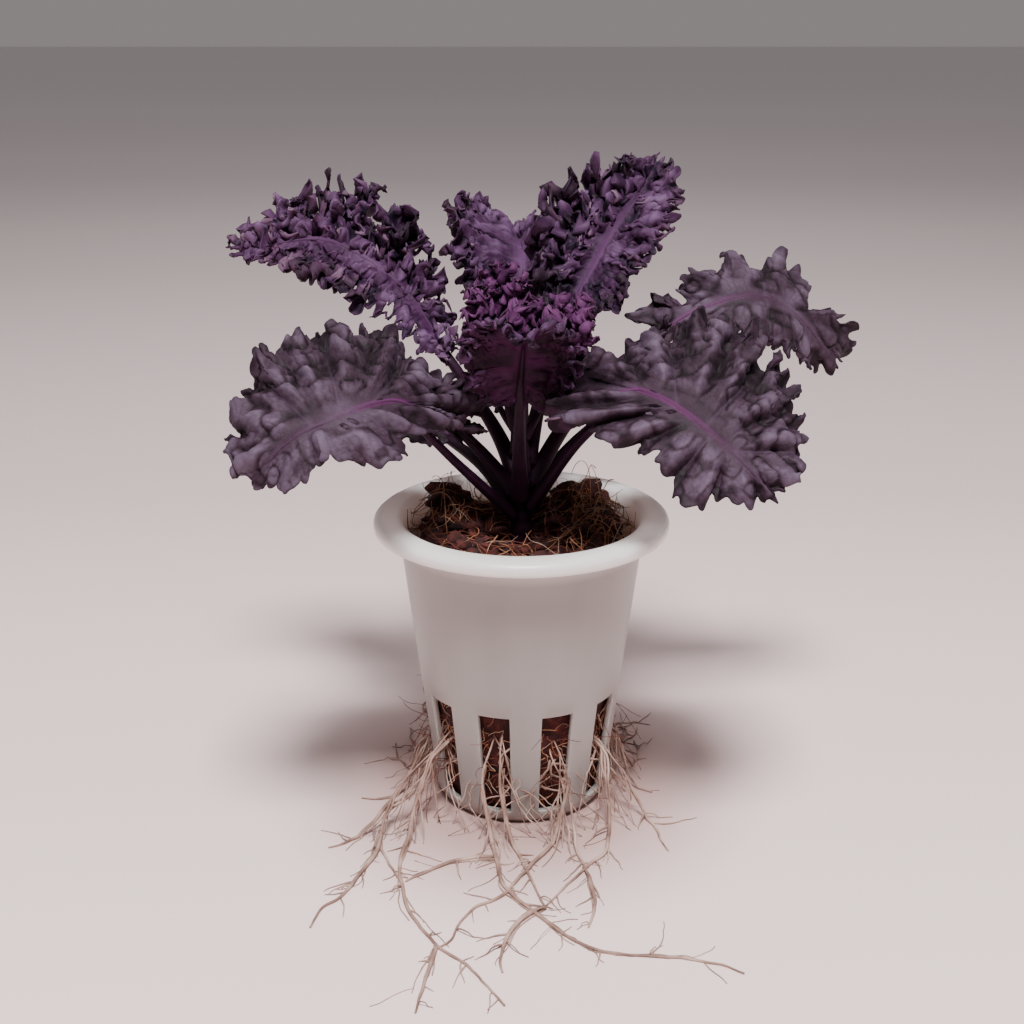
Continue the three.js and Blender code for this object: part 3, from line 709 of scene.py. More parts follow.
@dataclass
class Coir:
    """Coir that fills the pot: a packed mass heaped at its sides, with husk chips and loose fibres on top."""

    pot: NetPot
    level: float = 57.4
    relief: float = 0.5
    gap: float = 0.3              # between the mass and the pot's wall
    floor: float = 1.9
    heaps: tuple[tuple[float, float, float, float], ...] = (     # each heap's place, rise and spread
        (-15.5, 8, 8.5, 6.5), (13.5, 11, 7.5, 7.5), (0, 15.5, 3.5, 8), (-13, -6, 3.0, 6), (17.5, -2, 4.5, 7.0))
    chips: int = 170
    large_chips: tuple[tuple[float, float, float, int], ...] = (   # each one's place, size and whether it is dark
        (14.7, 12.5, 4.6, 1), (11.0, 14.6, 3.6, 1), (17.4, 10.5, 3.2, 1), (8.5, 12.0, 2.6, 1), (-16.4, 9.5, 4.4, 0),
        (-13.2, 7.0, 3.4, 0), (-17.8, 6.0, 3.0, 0), (4.6, -4.6, 3.0, 0), (8.6, 4.0, 3.2, 0), (-8.5, -6.5, 3.0, 0))
    arches: int = 8               # fibres of a light colour that stand up in an arch
    arch_radius: float = 17.5
    slot_fibres: int = 90
    slot_radius: float = 19.5     # of the coir behind the slots, about
    wisps: int = 70               # fibres that stick out of the slots
    seed: int = 4

    def height(self, x: np.ndarray, y: np.ndarray) -> np.ndarray:
        """The height of the top.

        Args:
            x: Points in plan, across.
            y: The same points, from front to back.

        Returns:
            The height at each.
        """
        bumps = (np.sin(0.42 * x + 1.3) * np.cos(0.37 * y - 0.4) + 0.6 * np.sin(0.83 * x - 0.71 * y + 2.1)
                 + 0.35 * np.cos(1.31 * y + 0.9 * x))
        heaped = sum(rise * np.exp(-((x - hx) ** 2 + (y - hy) ** 2) / spread**2) for hx, hy, rise, spread in self.heaps)
        return self.level + heaped + self.relief * bumps

    def build_mass(self, material: bpy.types.Material) -> bpy.types.Object:
        """Spins the mass and roughens it with lumps and crumbs.

        Args:
            material: Its material.

        Returns:
            The piece.
        """
        pot = self.pot
        side = [(pot.inner(z) - self.gap, z) for z in np.linspace(self.floor, self.level - 2.5, 44)]
        edge = side[-1][0]
        top = [(r, self.level) for r in np.linspace(edge - 0.5, 0, 36)]
        section = [(0, self.floor), (8, self.floor), (14, self.floor), *side, *top]
        bm = bmesh.new()
        line = [bm.verts.new((r, 0, z)) for r, z in section]
        edges = [bm.edges.new(pair) for pair in zip(line, line[1:])]
        bmesh.ops.spin(bm, geom=line + edges, cent=(0, 0, 0), axis=(0, 0, 1), angle=2 * math.pi, steps=150,
                       use_merge=True)
        bmesh.ops.remove_doubles(bm, verts=bm.verts, dist=1e-3)
        bmesh.ops.recalc_face_normals(bm, faces=bm.faces)
        mesh = bpy.data.meshes.new("mass")
        bm.to_mesh(mesh)
        bm.free()
        co = np.zeros(len(mesh.vertices) * 3)
        mesh.vertices.foreach_get("co", co)
        co = co.reshape(-1, 3)
        radius = np.linalg.norm(co[:, :2], axis=1)
        crumbs = 0.9 * lumps(co, 3.2, 1) + 0.6 * lumps(co, 1.5, 2) + 0.35 * lumps(co, 0.8, 3)
        on_top = co[:, 2] > self.level - 0.01
        rim = smoothstep(radius, edge - 4.0, edge)
        co[:, 2] = np.where(on_top, self.height(co[:, 0], co[:, 1]) + 1.3 * crumbs - 0.8 - 4.0 * rim, co[:, 2])
        # crumbs are pulled inwards only, so that none reaches the pot's wall
        wall = (~on_top) & (radius > 15)
        pull = np.clip(np.where(wall, 0.55 + 0.55 * crumbs, 0), 0, 1.6)
        co[:, :2] *= (1 - pull / np.maximum(radius, 1))[:, None]
        mesh.vertices.foreach_set("co", (co * MM).ravel())
        return publish("coir_mass", mesh, [material], "coir", "coir")

    def build_chips(self, materials: list[bpy.types.Material]) -> bpy.types.Object:
        """Strews husk chips over the top, of 80 faces each.

        Args:
            materials: The light and the dark chips' materials.

        Returns:
            The piece.
        """
        rng = np.random.default_rng(self.seed)
        bm = bmesh.new()
        spots = list(self.large_chips)
        reach = self.pot.inner(self.level) - 4.0
        while len(spots) < self.chips:
            r, a = reach * math.sqrt(rng.random()), rng.uniform(0, 2 * math.pi)
            if r > 4:
                spots.append((r * math.cos(a), r * math.sin(a), rng.uniform(1.0, 2.9), int(rng.random() < 0.3)))
        for x, y, size, dark in spots:
            z = float(self.height(np.array(x), np.array(y))) - 0.5 + 0.2 * size
            turn = (Matrix.Rotation(rng.uniform(0, 6.28), 4, "Z") @ Matrix.Rotation(rng.uniform(-0.7, 0.7), 4, "X")
                    @ Matrix.Rotation(rng.uniform(-0.5, 0.5), 4, "Y"))
            shape = Matrix.Diagonal((size, size * rng.uniform(0.5, 0.8), size * rng.uniform(0.3, 0.55), 1))
            made = bmesh.ops.create_icosphere(bm, subdivisions=2, radius=1,
                                              matrix=Matrix.Translation((x, y, z)) @ turn @ shape)
            for vert in made["verts"]:
                vert.co += Vector(rng.uniform(-1, 1, 3)) * size * 0.11
            for face in {f for v in made["verts"] for f in v.link_faces}:
                face.material_index = dark
        bmesh.ops.scale(bm, vec=(MM, MM, MM), verts=bm.verts)
        mesh = bpy.data.meshes.new("chips")
        bm.to_mesh(mesh)
        bm.free()
        return publish("coir_chips", mesh, materials, "coir", "coir")

    def fibre(self, rng: np.random.Generator, start: Point, length: float, heading: float, climb: float,
              stand: float) -> np.ndarray:
        """One curved fibre that lies on the coir.

        Args:
            rng: The source of its bends.
            start: Its first point in plan.
            length: Its length.
            heading: The direction it sets off in, in radians.
            climb: How far its middle stands off the coir.
            stand: How far its far end stands off the coir.

        Returns:
            Its points.
        """
        count = max(8, int(length / 1.1))
        bend = rng.normal(0, 0.13) + np.cumsum(rng.normal(0, 0.05, count))
        angle = heading + np.cumsum(bend)
        step = length / count
        x = start[0] + np.cumsum(np.cos(angle)) * step
        y = start[1] + np.cumsum(np.sin(angle)) * step
        far = np.hypot(x, y)
        limit = self.pot.inner(60) - 0.5
        squeeze = np.where(far > limit, limit / far, 1)
        x, y = x * squeeze, y * squeeze
        s = np.linspace(0, 1, count)
        wave = 0.25 * np.sin(9 * s + rng.uniform(0, 6))
        z = self.height(x, y) + 0.25 + climb * np.sin(np.pi * s) + stand * s**2 + wave
        return np.stack([x, y, z], 1)

    def build_fibres(self, tone: FibreTone, material: bpy.types.Material, count: int,
                     thick: tuple[float, float]) -> bpy.types.Object:
        """Lays loose fibres of one colour over the top and in the slots.

        Args:
            tone: The fibres' colour, which also sets where they lie.
            material: Their material.
            count: How many there are.
            thick: Their least and greatest radius.

        Returns:
            The piece.
        """
        rng = np.random.default_rng(self.seed + 100 * len(tone.value) + ord(tone.value[0]))
        bundle = Strands()
        reach = self.pot.inner(self.level) - 2.0
        light = tone is not FibreTone.RUST
        for _ in range(count):
            if light and rng.random() < 0.7:      # most light fibres lie on the two side heaps
                a = rng.normal(*((0.1, 0.45) if rng.random() < 0.75 else (2.8, 0.5)))
                r = rng.uniform(0.6, 0.98) * reach
            else:
                a, r = rng.uniform(0, 2 * math.pi), reach * math.sqrt(rng.uniform(0.04, 1))
            start = (r * math.cos(a), r * math.sin(a))
            length, heading, climb = rng.uniform(5, 20), rng.uniform(0, 2 * math.pi), rng.uniform(0, 1.8)
            stand = rng.uniform(0, 1.5) if rng.random() < 0.8 else rng.uniform(2, 7)
            path = self.fibre(rng, start, length, heading, climb, stand)
            radius = rng.uniform(*thick)
            bundle.add(path, radius * (1 - 0.5 * np.linspace(0, 1, len(path)) ** 2))
        for _ in range(self.arches if light else 0):
            path = self.arch(rng, rng.normal(*((0.3, 0.35) if rng.random() < 0.6 else (2.7, 0.3))))
            bundle.add(path, np.full(len(path), rng.uniform(*thick)))
        for _ in range(self.slot_fibres):
            path = self.in_slot(rng)
            bundle.add(path, np.full(len(path), rng.uniform(*thick)))
        for _ in range(0 if light else self.wisps):
            path = self.wisp(rng)
            bundle.add(path, np.linspace(0.09, 0.05, len(path)))
        return publish(f"coir_fibres_{tone.value}", bundle.mesh(), [material], "coir", "coir")

    def slot_angle(self, rng: np.random.Generator) -> float:
        """A direction that looks out through one of the slots, in radians."""
        return math.radians(self.pot.first_slot + self.pot.pitch * rng.integers(0, self.pot.slots) + rng.uniform(-8, 8))

    def wisp(self, rng: np.random.Generator) -> np.ndarray:
        """One fibre that sticks out of a slot into the air.

        Args:
            rng: The source of its place and its bends.

        Returns:
            Its points.
        """
        angle = self.slot_angle(rng)
        s = np.linspace(0, 1, 9)
        r = self.slot_radius - 0.5 + rng.uniform(3.5, 8.0) * s
        along = angle + rng.normal(0, 0.12) * s + 0.03 * np.sin(5 * s + rng.uniform(0, 6))
        z = rng.uniform(6, 24) + rng.normal(0, 3.0) * s**1.5 + 0.4 * np.sin(6 * s)
        return np.stack([r * np.sin(along), -r * np.cos(along), z], 1)

    def arch(self, rng: np.random.Generator, angle: float) -> np.ndarray:
        """One fibre that stands up off the heaps in an arch.

        Args:
            rng: The source of its size and its bends.
            angle: The direction that it stands in from the stem, in radians.

        Returns:
            Its points.
        """
        s = np.linspace(0, 1, 14)
        turn = rng.uniform(0, 2 * math.pi)
        long, high = rng.uniform(3, 9), rng.uniform(3, 9)
        x = self.arch_radius * math.cos(angle) + long * (s - 0.5) * math.cos(turn) + 0.6 * np.sin(5 * s)
        y = self.arch_radius * math.sin(angle) + long * (s - 0.5) * math.sin(turn)
        z = self.height(x, y)[0] + high * np.sin(np.pi * s**rng.uniform(0.6, 1.2) * rng.uniform(0.5, 1.0))
        return np.stack([x, y, z], 1)

    def in_slot(self, rng: np.random.Generator) -> np.ndarray:
        """One fibre that winds over the coir behind a slot.

        Args:
            rng: The source of its place and its bends.

        Returns:
            Its points.
        """
        pot = self.pot
        angle = self.slot_angle(rng)
        z = rng.uniform(5, 24)
        count = 9
        heading = rng.uniform(0, 2 * math.pi) + np.cumsum(rng.normal(0, 0.35, count))
        step = rng.uniform(0.5, 1.1)
        zs = np.clip(z + np.cumsum(np.sin(heading)) * step, 2.4, 28)
        along = angle + np.cumsum(np.cos(heading)) * step / self.slot_radius
        r = pot.inner(0) + (zs / pot.height) * (pot.top_radius - pot.base_radius) - rng.uniform(0.15, 0.6)
        return np.stack([r * np.sin(along), -r * np.cos(along), zs], 1)


# ---------------------------------------------------------------- leaves


@dataclass(frozen=True)
class Leaf:
    """One curly leaf: rays leave the midrib, fan round from foot to tip, and turn up and down at the edge.

    The half widths, near and far, are those on either side of the rib from foot to tip. Angles are in degrees.
    """

    node: str                     # the CAD node that it stands for
    seed: int
    wave: float                   # length of the largest ruffles along the edge, mm
    curl: float                   # how far the largest ruffles turn up and down
    sweep: float                  # the direction of the rays at the foot, back from square to the rib
    bend: float                   # how far the edge turns up, or down below 0
    above: Point                  # the side that its upper face looks to
    petiole: tuple[Point, ...]    # points along its stalk
    rib: tuple[Point, ...]        # points along its midrib
    far: tuple[float, ...]
    near: tuple[float, ...]
    cup: tuple[float, float] = (0.0, 0.0)    # how far its rays rise from the rib, at the foot and at the tip
    frill: float = 30.0           # how far the second set of ruffles turns
    crisp: float = 20.0           # how far the finest set turns
    pinch: float = 0.0            # how far ruffles bunch along the edge
    depth: float = 4.0            # how near the edge the ruffles stay; 1 lets them start at the rib
    lobe: float = 9.0             # length of a lobe along the edge, mm
    sinus: float = 2.2            # depth of the cuts between lobes, mm
    bite: float = 1.6             # depth of the cuts between teeth, mm
    teeth: float = 3.0            # on each lobe
    blister: float = 3.4          # width of a blister, mm
    puff: float = 0.75            # height of a blister, mm
    pleat: float = 1.0            # height of the folds between lateral veins, mm
    crinkle: float = 0.6          # how far the edge is crumpled this way and that, mm
    crumple: float = 5.0          # size of those crumples, mm
    rough: int = 0                # the side that is more blistered, and darker by painted shade: 1 far, -1 near, 0 neither
    tint: tuple[float, float] = (0.0, 0.0)   # lighter or darker than its neighbours, at the foot and at the tip
    cleft: float = 0.55           # how wide the cuts between lobes open
    fade: tuple[float, float] = (0.3, 0.9)   # where along the rib its colour starts and ends fading
    rows: int = 250
    half: int = 28
    stalk_radius: tuple[float, float] = (1.7, 1.1)   # at the stem and at the blade's foot
    thickness: float = 0.45
    holes: tuple[tuple[float, float, float, float, int], ...] = ()   # place, share outwards, length, width, side

    def frames(self, t: np.ndarray | None = None) -> tuple[np.ndarray, np.ndarray, np.ndarray, np.ndarray]:
        """Follows the midrib.

        Args:
            t: Places along it from 0 to 1, or none for even steps.

        Returns:
            Its points, and its direction, side and upward direction at each.
        """
        rib = smooth_curve(self.rib, self.rows)
        if t is not None:
            rib = np.stack([np.interp(t * self.rows, np.arange(self.rows + 1), rib[:, k]) for k in range(3)], 1)
        step = np.gradient(rib, axis=0)
        if t is not None:
            step /= np.gradient(t)[:, None]
        tangent = unit(step)
        side = unit(np.cross(tangent, unit(np.array(self.above))))
        return rib, tangent, side, np.cross(side, tangent)

    def fan(self, t: np.ndarray) -> np.ndarray:
        """The angle of the rays at places along the rib, from its sides towards its tip, in radians."""
        return np.radians(self.sweep + (90 - self.sweep) * t**1.4)

    def width(self, t: np.ndarray, sign: int) -> np.ndarray:
        """The half width on one side at places along the rib."""
        return sample(self.near if sign < 0 else self.far, t)

    def rim(self, t: np.ndarray, sign: int) -> np.ndarray:
        """Measures round one side's edge, laid flat.

        Args:
            t: Places along the rib.
            sign: The side, 1 for the far one and -1 for the near one.

        Returns:
            The distance from the foot to each place, in millimetres.
        """
        turn, width = self.fan(t), self.width(t, sign)
        along = t * path_length(np.array(self.rib))
        edge = np.stack([sign * np.cos(turn) * width, along + np.sin(turn) * width], 1)
        return np.r_[0, np.cumsum(np.linalg.norm(np.diff(edge, axis=0), axis=1))]

    def sheet(self) -> tuple[np.ndarray, dict[str, np.ndarray], np.ndarray]:
        """Works out the blade's middle surface.

        Returns:
            Its rows of points, its attributes, and which points stay.
        """
        rows, half = self.rows, self.half
        # rows stand closer where the edge is long for its rib, and columns closer by the rib and by the edge
        even = np.linspace(0, 1, rows + 1)
        rims = self.rim(even, -1) + self.rim(even, 1)
        t = np.interp(even, 0.8 * rims / rims[-1] + 0.2 * even, even)
        across = 0.55 * np.arange(half + 1) / half + 0.225 * (1 - np.cos(np.pi * np.arange(half + 1) / half))
        rib, tangent, side, face = self.frames(t)
        turn = self.fan(t)
        calm = smoothstep(1 - t, 0, 0.1)          # the ruffles die away at the tip, where both sides meet
        points = np.zeros((rows + 1, 2 * half + 1, 3))
        flat = np.zeros((rows + 1, 2 * half + 1, 2))
        share, lateral, fold = np.zeros((3, rows + 1, 2 * half + 1))
        points[:, half] = rib
        flat[:, half] = np.stack([np.zeros(rows + 1), t * path_length(rib)], 1)
        for sign in (-1, 1):
            def phase(n: int, sign: int = sign) -> float:
                """A steady phase for the nth pattern of this side."""
                return 2 * math.pi * steady(self.seed * 2 + (sign + 1) / 2, n)

            def ripple(size: float, n: int, sway: float = 0.7) -> np.ndarray:
                """The phase of uneven waves of a size along this side's edge."""
                place = 2 * np.pi * edge / size
                return (place + phase(n) + sway * np.sin(0.41 * place + phase(n + 20))
                        + 0.5 * sway * np.sin(0.173 * place + phase(n + 30)))

            width, edge = self.width(t, sign), self.rim(t, sign)
            wave, second, third = ripple(self.wave, 0), ripple(self.wave / 2.3, 3), ripple(self.wave / 5.1, 5)
            swing = np.radians(self.curl) * (1 + 0.3 * np.sin(9 * t + phase(2)))
            # the outline: narrow cuts between lobes, and uneven teeth on them
            lobe = ripple(self.lobe, 7, 0.5) / (2 * np.pi)
            tooth = ripple(self.lobe / self.teeth, 8) / (2 * np.pi)
            notch = ((1 - np.abs(np.sin(np.pi * lobe)) ** self.cleft)
                     * (0.75 + 0.25 * np.sin(0.7 * np.pi * lobe + phase(11))))
            bite = 0.55 * np.cos(2 * np.pi * tooth) * (1.3 + 0.7 * np.sin(0.9 * np.pi * tooth + phase(9)))
            outline = 1 + (self.bite * bite - self.sinus * notch) / width
            outline = 1 + (outline - 1) * smoothstep(1 - t, -0.03, 0.05)
            lift = np.radians(self.cup[0] + (self.cup[1] - self.cup[0]) * t)
            direction = sign * side * np.cos(turn)[:, None] + tangent * np.sin(turn)[:, None]
            along = -sign * side * np.sin(turn)[:, None] + tangent * np.cos(turn)[:, None]
            place = rib.copy()
            plan = flat[:, half].copy()
            # each ray walks out from the rib, and its steps turn up and down with the ruffles
            for j in range(1, half + 1):
                mid = 0.5 * (across[j] + across[j - 1])
                reach = [u + (outline - 1) * u**1.5 for u in (across[j - 1], across[j])]
                step = width * (reach[1] - reach[0])
                frill = np.radians(self.frill) * mid**self.depth * np.sin(second + 1.5 * np.sin(5 * mid + phase(12)))
                crisp = (np.radians(self.crisp) * mid**(self.depth * 1.6)
                         * np.sin(third + 2.5 * np.sin(8 * mid + phase(13))))
                ruffle = calm * (1 + 0.4 * self.rough * sign) * (swing * mid**3 * np.sin(wave) + frill + crisp)
                angle = lift + np.radians(self.bend) * mid + ruffle
                skew = np.radians(self.pinch) * mid**3 * calm * np.sin(2 * second)
                heading = direction * np.cos(skew)[:, None] + along * np.sin(skew)[:, None]
                surplus = 1 / np.maximum(np.cos(ruffle), 0.6)
                place = place + (step * surplus)[:, None] * (heading * np.cos(angle)[:, None]
                                                             + face * np.sin(angle)[:, None])
                plan = plan + step[:, None] * np.stack([sign * np.cos(turn), np.sin(turn)], 1)
                column = half + sign * j
                points[:, column], flat[:, column] = place, plan
                share[:, column] = across[j]
                # a vein runs to every second lobe, as wide as 0.62 mm at the rib
                spread = (np.linalg.norm(np.gradient(plan, axis=0), axis=1)
                          / np.maximum(np.abs(np.gradient(lobe)), 1e-4))
                near_vein = np.abs(lobe / 2 - np.floor(lobe / 2) - 0.5) * 2 * spread
                lateral[:, column] = np.exp(-((near_vein / (0.62 - 0.35 * across[j])) ** 2))
                fold[:, column] = np.cos(2 * np.pi * (lobe - 0.62)) + 0.4 * np.sin(4 * np.pi * lobe + phase(10))
        points[-1] = 0.5 * (points[-1] + points[-1, ::-1])
        return self.dress(points, flat, share, lateral, fold, t)

    def dress(self, points: np.ndarray, flat: np.ndarray, share: np.ndarray, lateral: np.ndarray, fold: np.ndarray,
              t: np.ndarray) -> tuple[np.ndarray, dict[str, np.ndarray], np.ndarray]:
        """Raises the blade's blisters and veins, and works out its attributes.

        Args:
            points: The blade's middle surface.
            flat: The same points on the blade laid flat.
            share: How far each point is from the rib to the edge.
            lateral: How near each point is to a lateral vein.
            fold: How high each point stands on the folds between the veins.
            t: Each row's place along the rib.

        Returns:
            The raised points, the attributes, and which points stay.
        """
        normal = unit(np.cross(np.gradient(points, axis=1), np.gradient(points, axis=0)))
        inside, shade = cells(flat, self.blister, self.seed)
        inner_fine, _ = cells(flat, self.blister * 0.5, self.seed + 5)
        dome = np.sqrt(np.clip(inside, 0, 1)) * (0.55 + 0.45 * shade)
        fine = np.sqrt(np.clip(inner_fine, 0, 1))
        off_line = smoothstep(share * 16, 0.6, 4.5)
        calm = smoothstep(1 - t, 0.0, 0.08)[:, None]
        side = self.rough * np.sign(flat[..., 0]) * smoothstep(np.abs(flat[..., 0]), 0, 4)
        swell = lumps(flat, 3.4, self.seed + 4)
        crease = np.clip(np.abs(lumps(flat, 1.5 * self.blister, self.seed + 6)) * 3.2, 0, 1)

        # blisters, sunk veins and a raised midrib, then creases and slow swells of 3.4, 8 and 15 mm, then the folds
        puff = self.puff * (1 + 0.4 * side)
        lift = puff * (off_line * (1 - 0.7 * lateral)) * (0.6 * (dome - 0.35) + 0.3 * (fine - 0.4) * share)
        lift += -0.3 * lateral * smoothstep(share, 0.02, 0.2) * (1 - 0.5 * share)
        lift += 0.25 * np.exp(-((share * 26) ** 2))
        lift += puff * smoothstep(share, 0.05, 0.4) * (0.3 * lumps(flat, 8.0, self.seed + 3) + 0.5 * swell
                                                       + (0.8 + 0.6 * side) * (crease - 0.6))
        lift += 1.3 * smoothstep(share, 0.1, 0.6) * lumps(flat, 15.0, self.seed + 17)
        lift += self.pleat * fold * smoothstep(share, 0.1, 0.55) * (1 - 0.35 * smoothstep(share, 0.7, 1.0))
        raised = points + normal * (lift * calm)[..., None]

        # the loose outer part is crumpled in every direction, in two sizes
        outer = smoothstep(share, 0.06 * self.depth, 0.22 * self.depth) * calm
        loose = (self.crinkle * (1 + 0.55 * side) * (0.5 + 0.5 * smoothstep(t, 0.05, 0.4))[:, None] * outer)[..., None]
        for size, amount in ((self.crumple, 1.0), (self.crumple * 0.5, 0.7)):
            seed = self.seed + 40 + int(10 * size)
            push = np.stack([0.34 - 1.7 * np.abs(lumps(flat, size, seed + k)) for k in range(3)], -1)
            raised = raised + amount * loose * push * (0.7, 0.7, 1.0)
        stand = np.clip(np.sum((raised - points) * normal, axis=-1), -1.6, 1.6)

        # the bloom is lightest by the midrib, and the leaf darker towards its edge; over these, painted light on
        # blisters, swells, fold ridges and what stands up, and painted shade in creases and hollows
        smooth_zone = 1 - smoothstep(share, 0.04, 0.04 + 0.08 * self.depth)
        tint = (self.tint[0] + (self.tint[1] - self.tint[0]) * smoothstep(t, 0.1, 0.6))[:, None]
        tone = 0.36 + tint + 0.10 * smooth_zone + 0.22 * (dome - 0.45) * off_line + 0.14 * (fine - 0.45) * off_line
        tone += ((0.16 * swell + 0.48 * (crease - 0.7)) * off_line + 0.2 * lumps(flat, 7.0, self.seed + 9)
                 - 0.08 * smoothstep(share, 0.55, 0.95))
        # painted light where the surface stands out and on the folds' ridges, painted shade where it sinks, and painted
        # shade on the rough side
        tone += 0.22 * stand * off_line + 0.12 * fold * share - 0.05 * side
        vein = lateral * (1 - smoothstep(share, 0.2, 0.8)) * smoothstep(share, 0.0, 0.03) * 0.22
        # the midrib shows as a line on either side of a fainter one
        from_rib = np.abs(flat[..., 0]) + 40 * smoothstep(share, 0.15, 0.3)
        lines = np.exp(-(((from_rib - 0.38) / 0.22) ** 2)) + 0.3 * np.exp(-((from_rib / 0.4) ** 2))
        midrib = 0.48 * np.clip(lines, 0, 1) * (1 - 0.85 * smoothstep(t, *self.fade))[:, None]
        edge = smoothstep(share, 0.93, 1.0) * 0.5
        attributes = {"tone": np.clip(tone, 0, 1), "vein": np.clip(vein, 0, 1), "midrib": midrib, "edge": edge}

        keep = np.ones(share.shape, bool)
        column_side = np.where(np.arange(share.shape[1]) < self.half, -1, 1)[None, :]
        for at, out, long, wide, sign in self.holes:
            inside_hole = ((t[:, None] - at) / long) ** 2 + ((share - out) / wide) ** 2 < 1
            keep &= ~(inside_hole & (column_side == sign))
        return raised, attributes, keep

    def build_blade(self, upper: bpy.types.Material, under: bpy.types.Material, name: str = "") -> bpy.types.Object:
        """Makes the blade, a thin sheet with a finish for each side.

        Args:
            upper: The upper face's material.
            under: The underside's material.
            name: Its name, where it isn't the CAD node's.

        Returns:
            The piece.
        """
        points, attributes, keep = self.sheet()
        points[..., 2] = np.maximum(points[..., 2], 1.0)
        mesh = grid_mesh(points, attributes, keep if self.holes else None)
        slot = "heart_leaf" if self.node == "heart_leaves" else "leaf"
        blade = publish(f"{name or self.node}_blade", mesh, [upper, under], slot, self.node)
        shell = blade.modifiers.new("thickness", "SOLIDIFY")
        shell.thickness, shell.offset, shell.material_offset = self.thickness * MM, 0, 1
        return blade

    def build_stalk(self, material: bpy.types.Material, name: str = "") -> bpy.types.Object:
        """Makes the stalk, which runs on as the midrib under the blade.

        Args:
            material: Its material.
            name: Its name, where it isn't the CAD node's.

        Returns:
            The piece.
        """
        rib, _, _, face = self.frames()
        top, foot = self.stalk_radius
        shares = (0.10, 0.3, 0.5, 0.7, 0.88)
        under = np.array([rib[int(s * self.rows)] - face[int(s * self.rows)] * (0.2 + foot * (1 - s)) for s in shares])
        path = smooth_curve(np.vstack([np.array(self.petiole)[:-1], under]), 90)
        reach = np.r_[0, np.cumsum(np.linalg.norm(np.diff(path, axis=0), axis=1))]
        stalk = path_length(smooth_curve(np.array(self.petiole), 40))
        s = reach / reach[-1]
        at_foot = min(stalk / reach[-1], 0.8)
        # it thins evenly to the blade's foot, then to 0.22 mm at the tip, and flares where it leaves the stem
        radii = np.where(s < at_foot, top + (foot - top) * smoothstep(s, 0, at_foot),
                         foot + (0.22 - foot) * ((s - at_foot) / (1 - at_foot)) ** 0.7)
        radii = radii * (1 + 0.25 * np.exp(-reach / 3.5))
        facing = np.array([face[0]] * len(path))
        mesh = grid_mesh(tube_sheet(path, radii, 20, facing, 0.22), {}, uv=True)
        return publish(f"{name or self.node}_stalk", mesh, [material], "stalk", self.node)


# what the leaves of each ring share
FRONT = {"frill": 14, "sinus": 4.0, "bite": 0.9, "crinkle": 0.4, "crumple": 3.6, "lobe": 12, "teeth": 3.4,
         "thickness": 0.38, "rows": 340, "half": 38}
BACK = {"blister": 2.0, "puff": 0.45, "thickness": 0.28, "rows": 480, "half": 34}
REAR = {"rows": 200, "half": 20}
CENTRE = {"frill": 30, "crisp": 35, "depth": 1.6, "crinkle": 1.15, "crumple": 1.5, "pinch": 10, "sinus": 1.8,
          "bite": 1.3, "lobe": 4, "puff": 0.5, "thickness": 0.26}

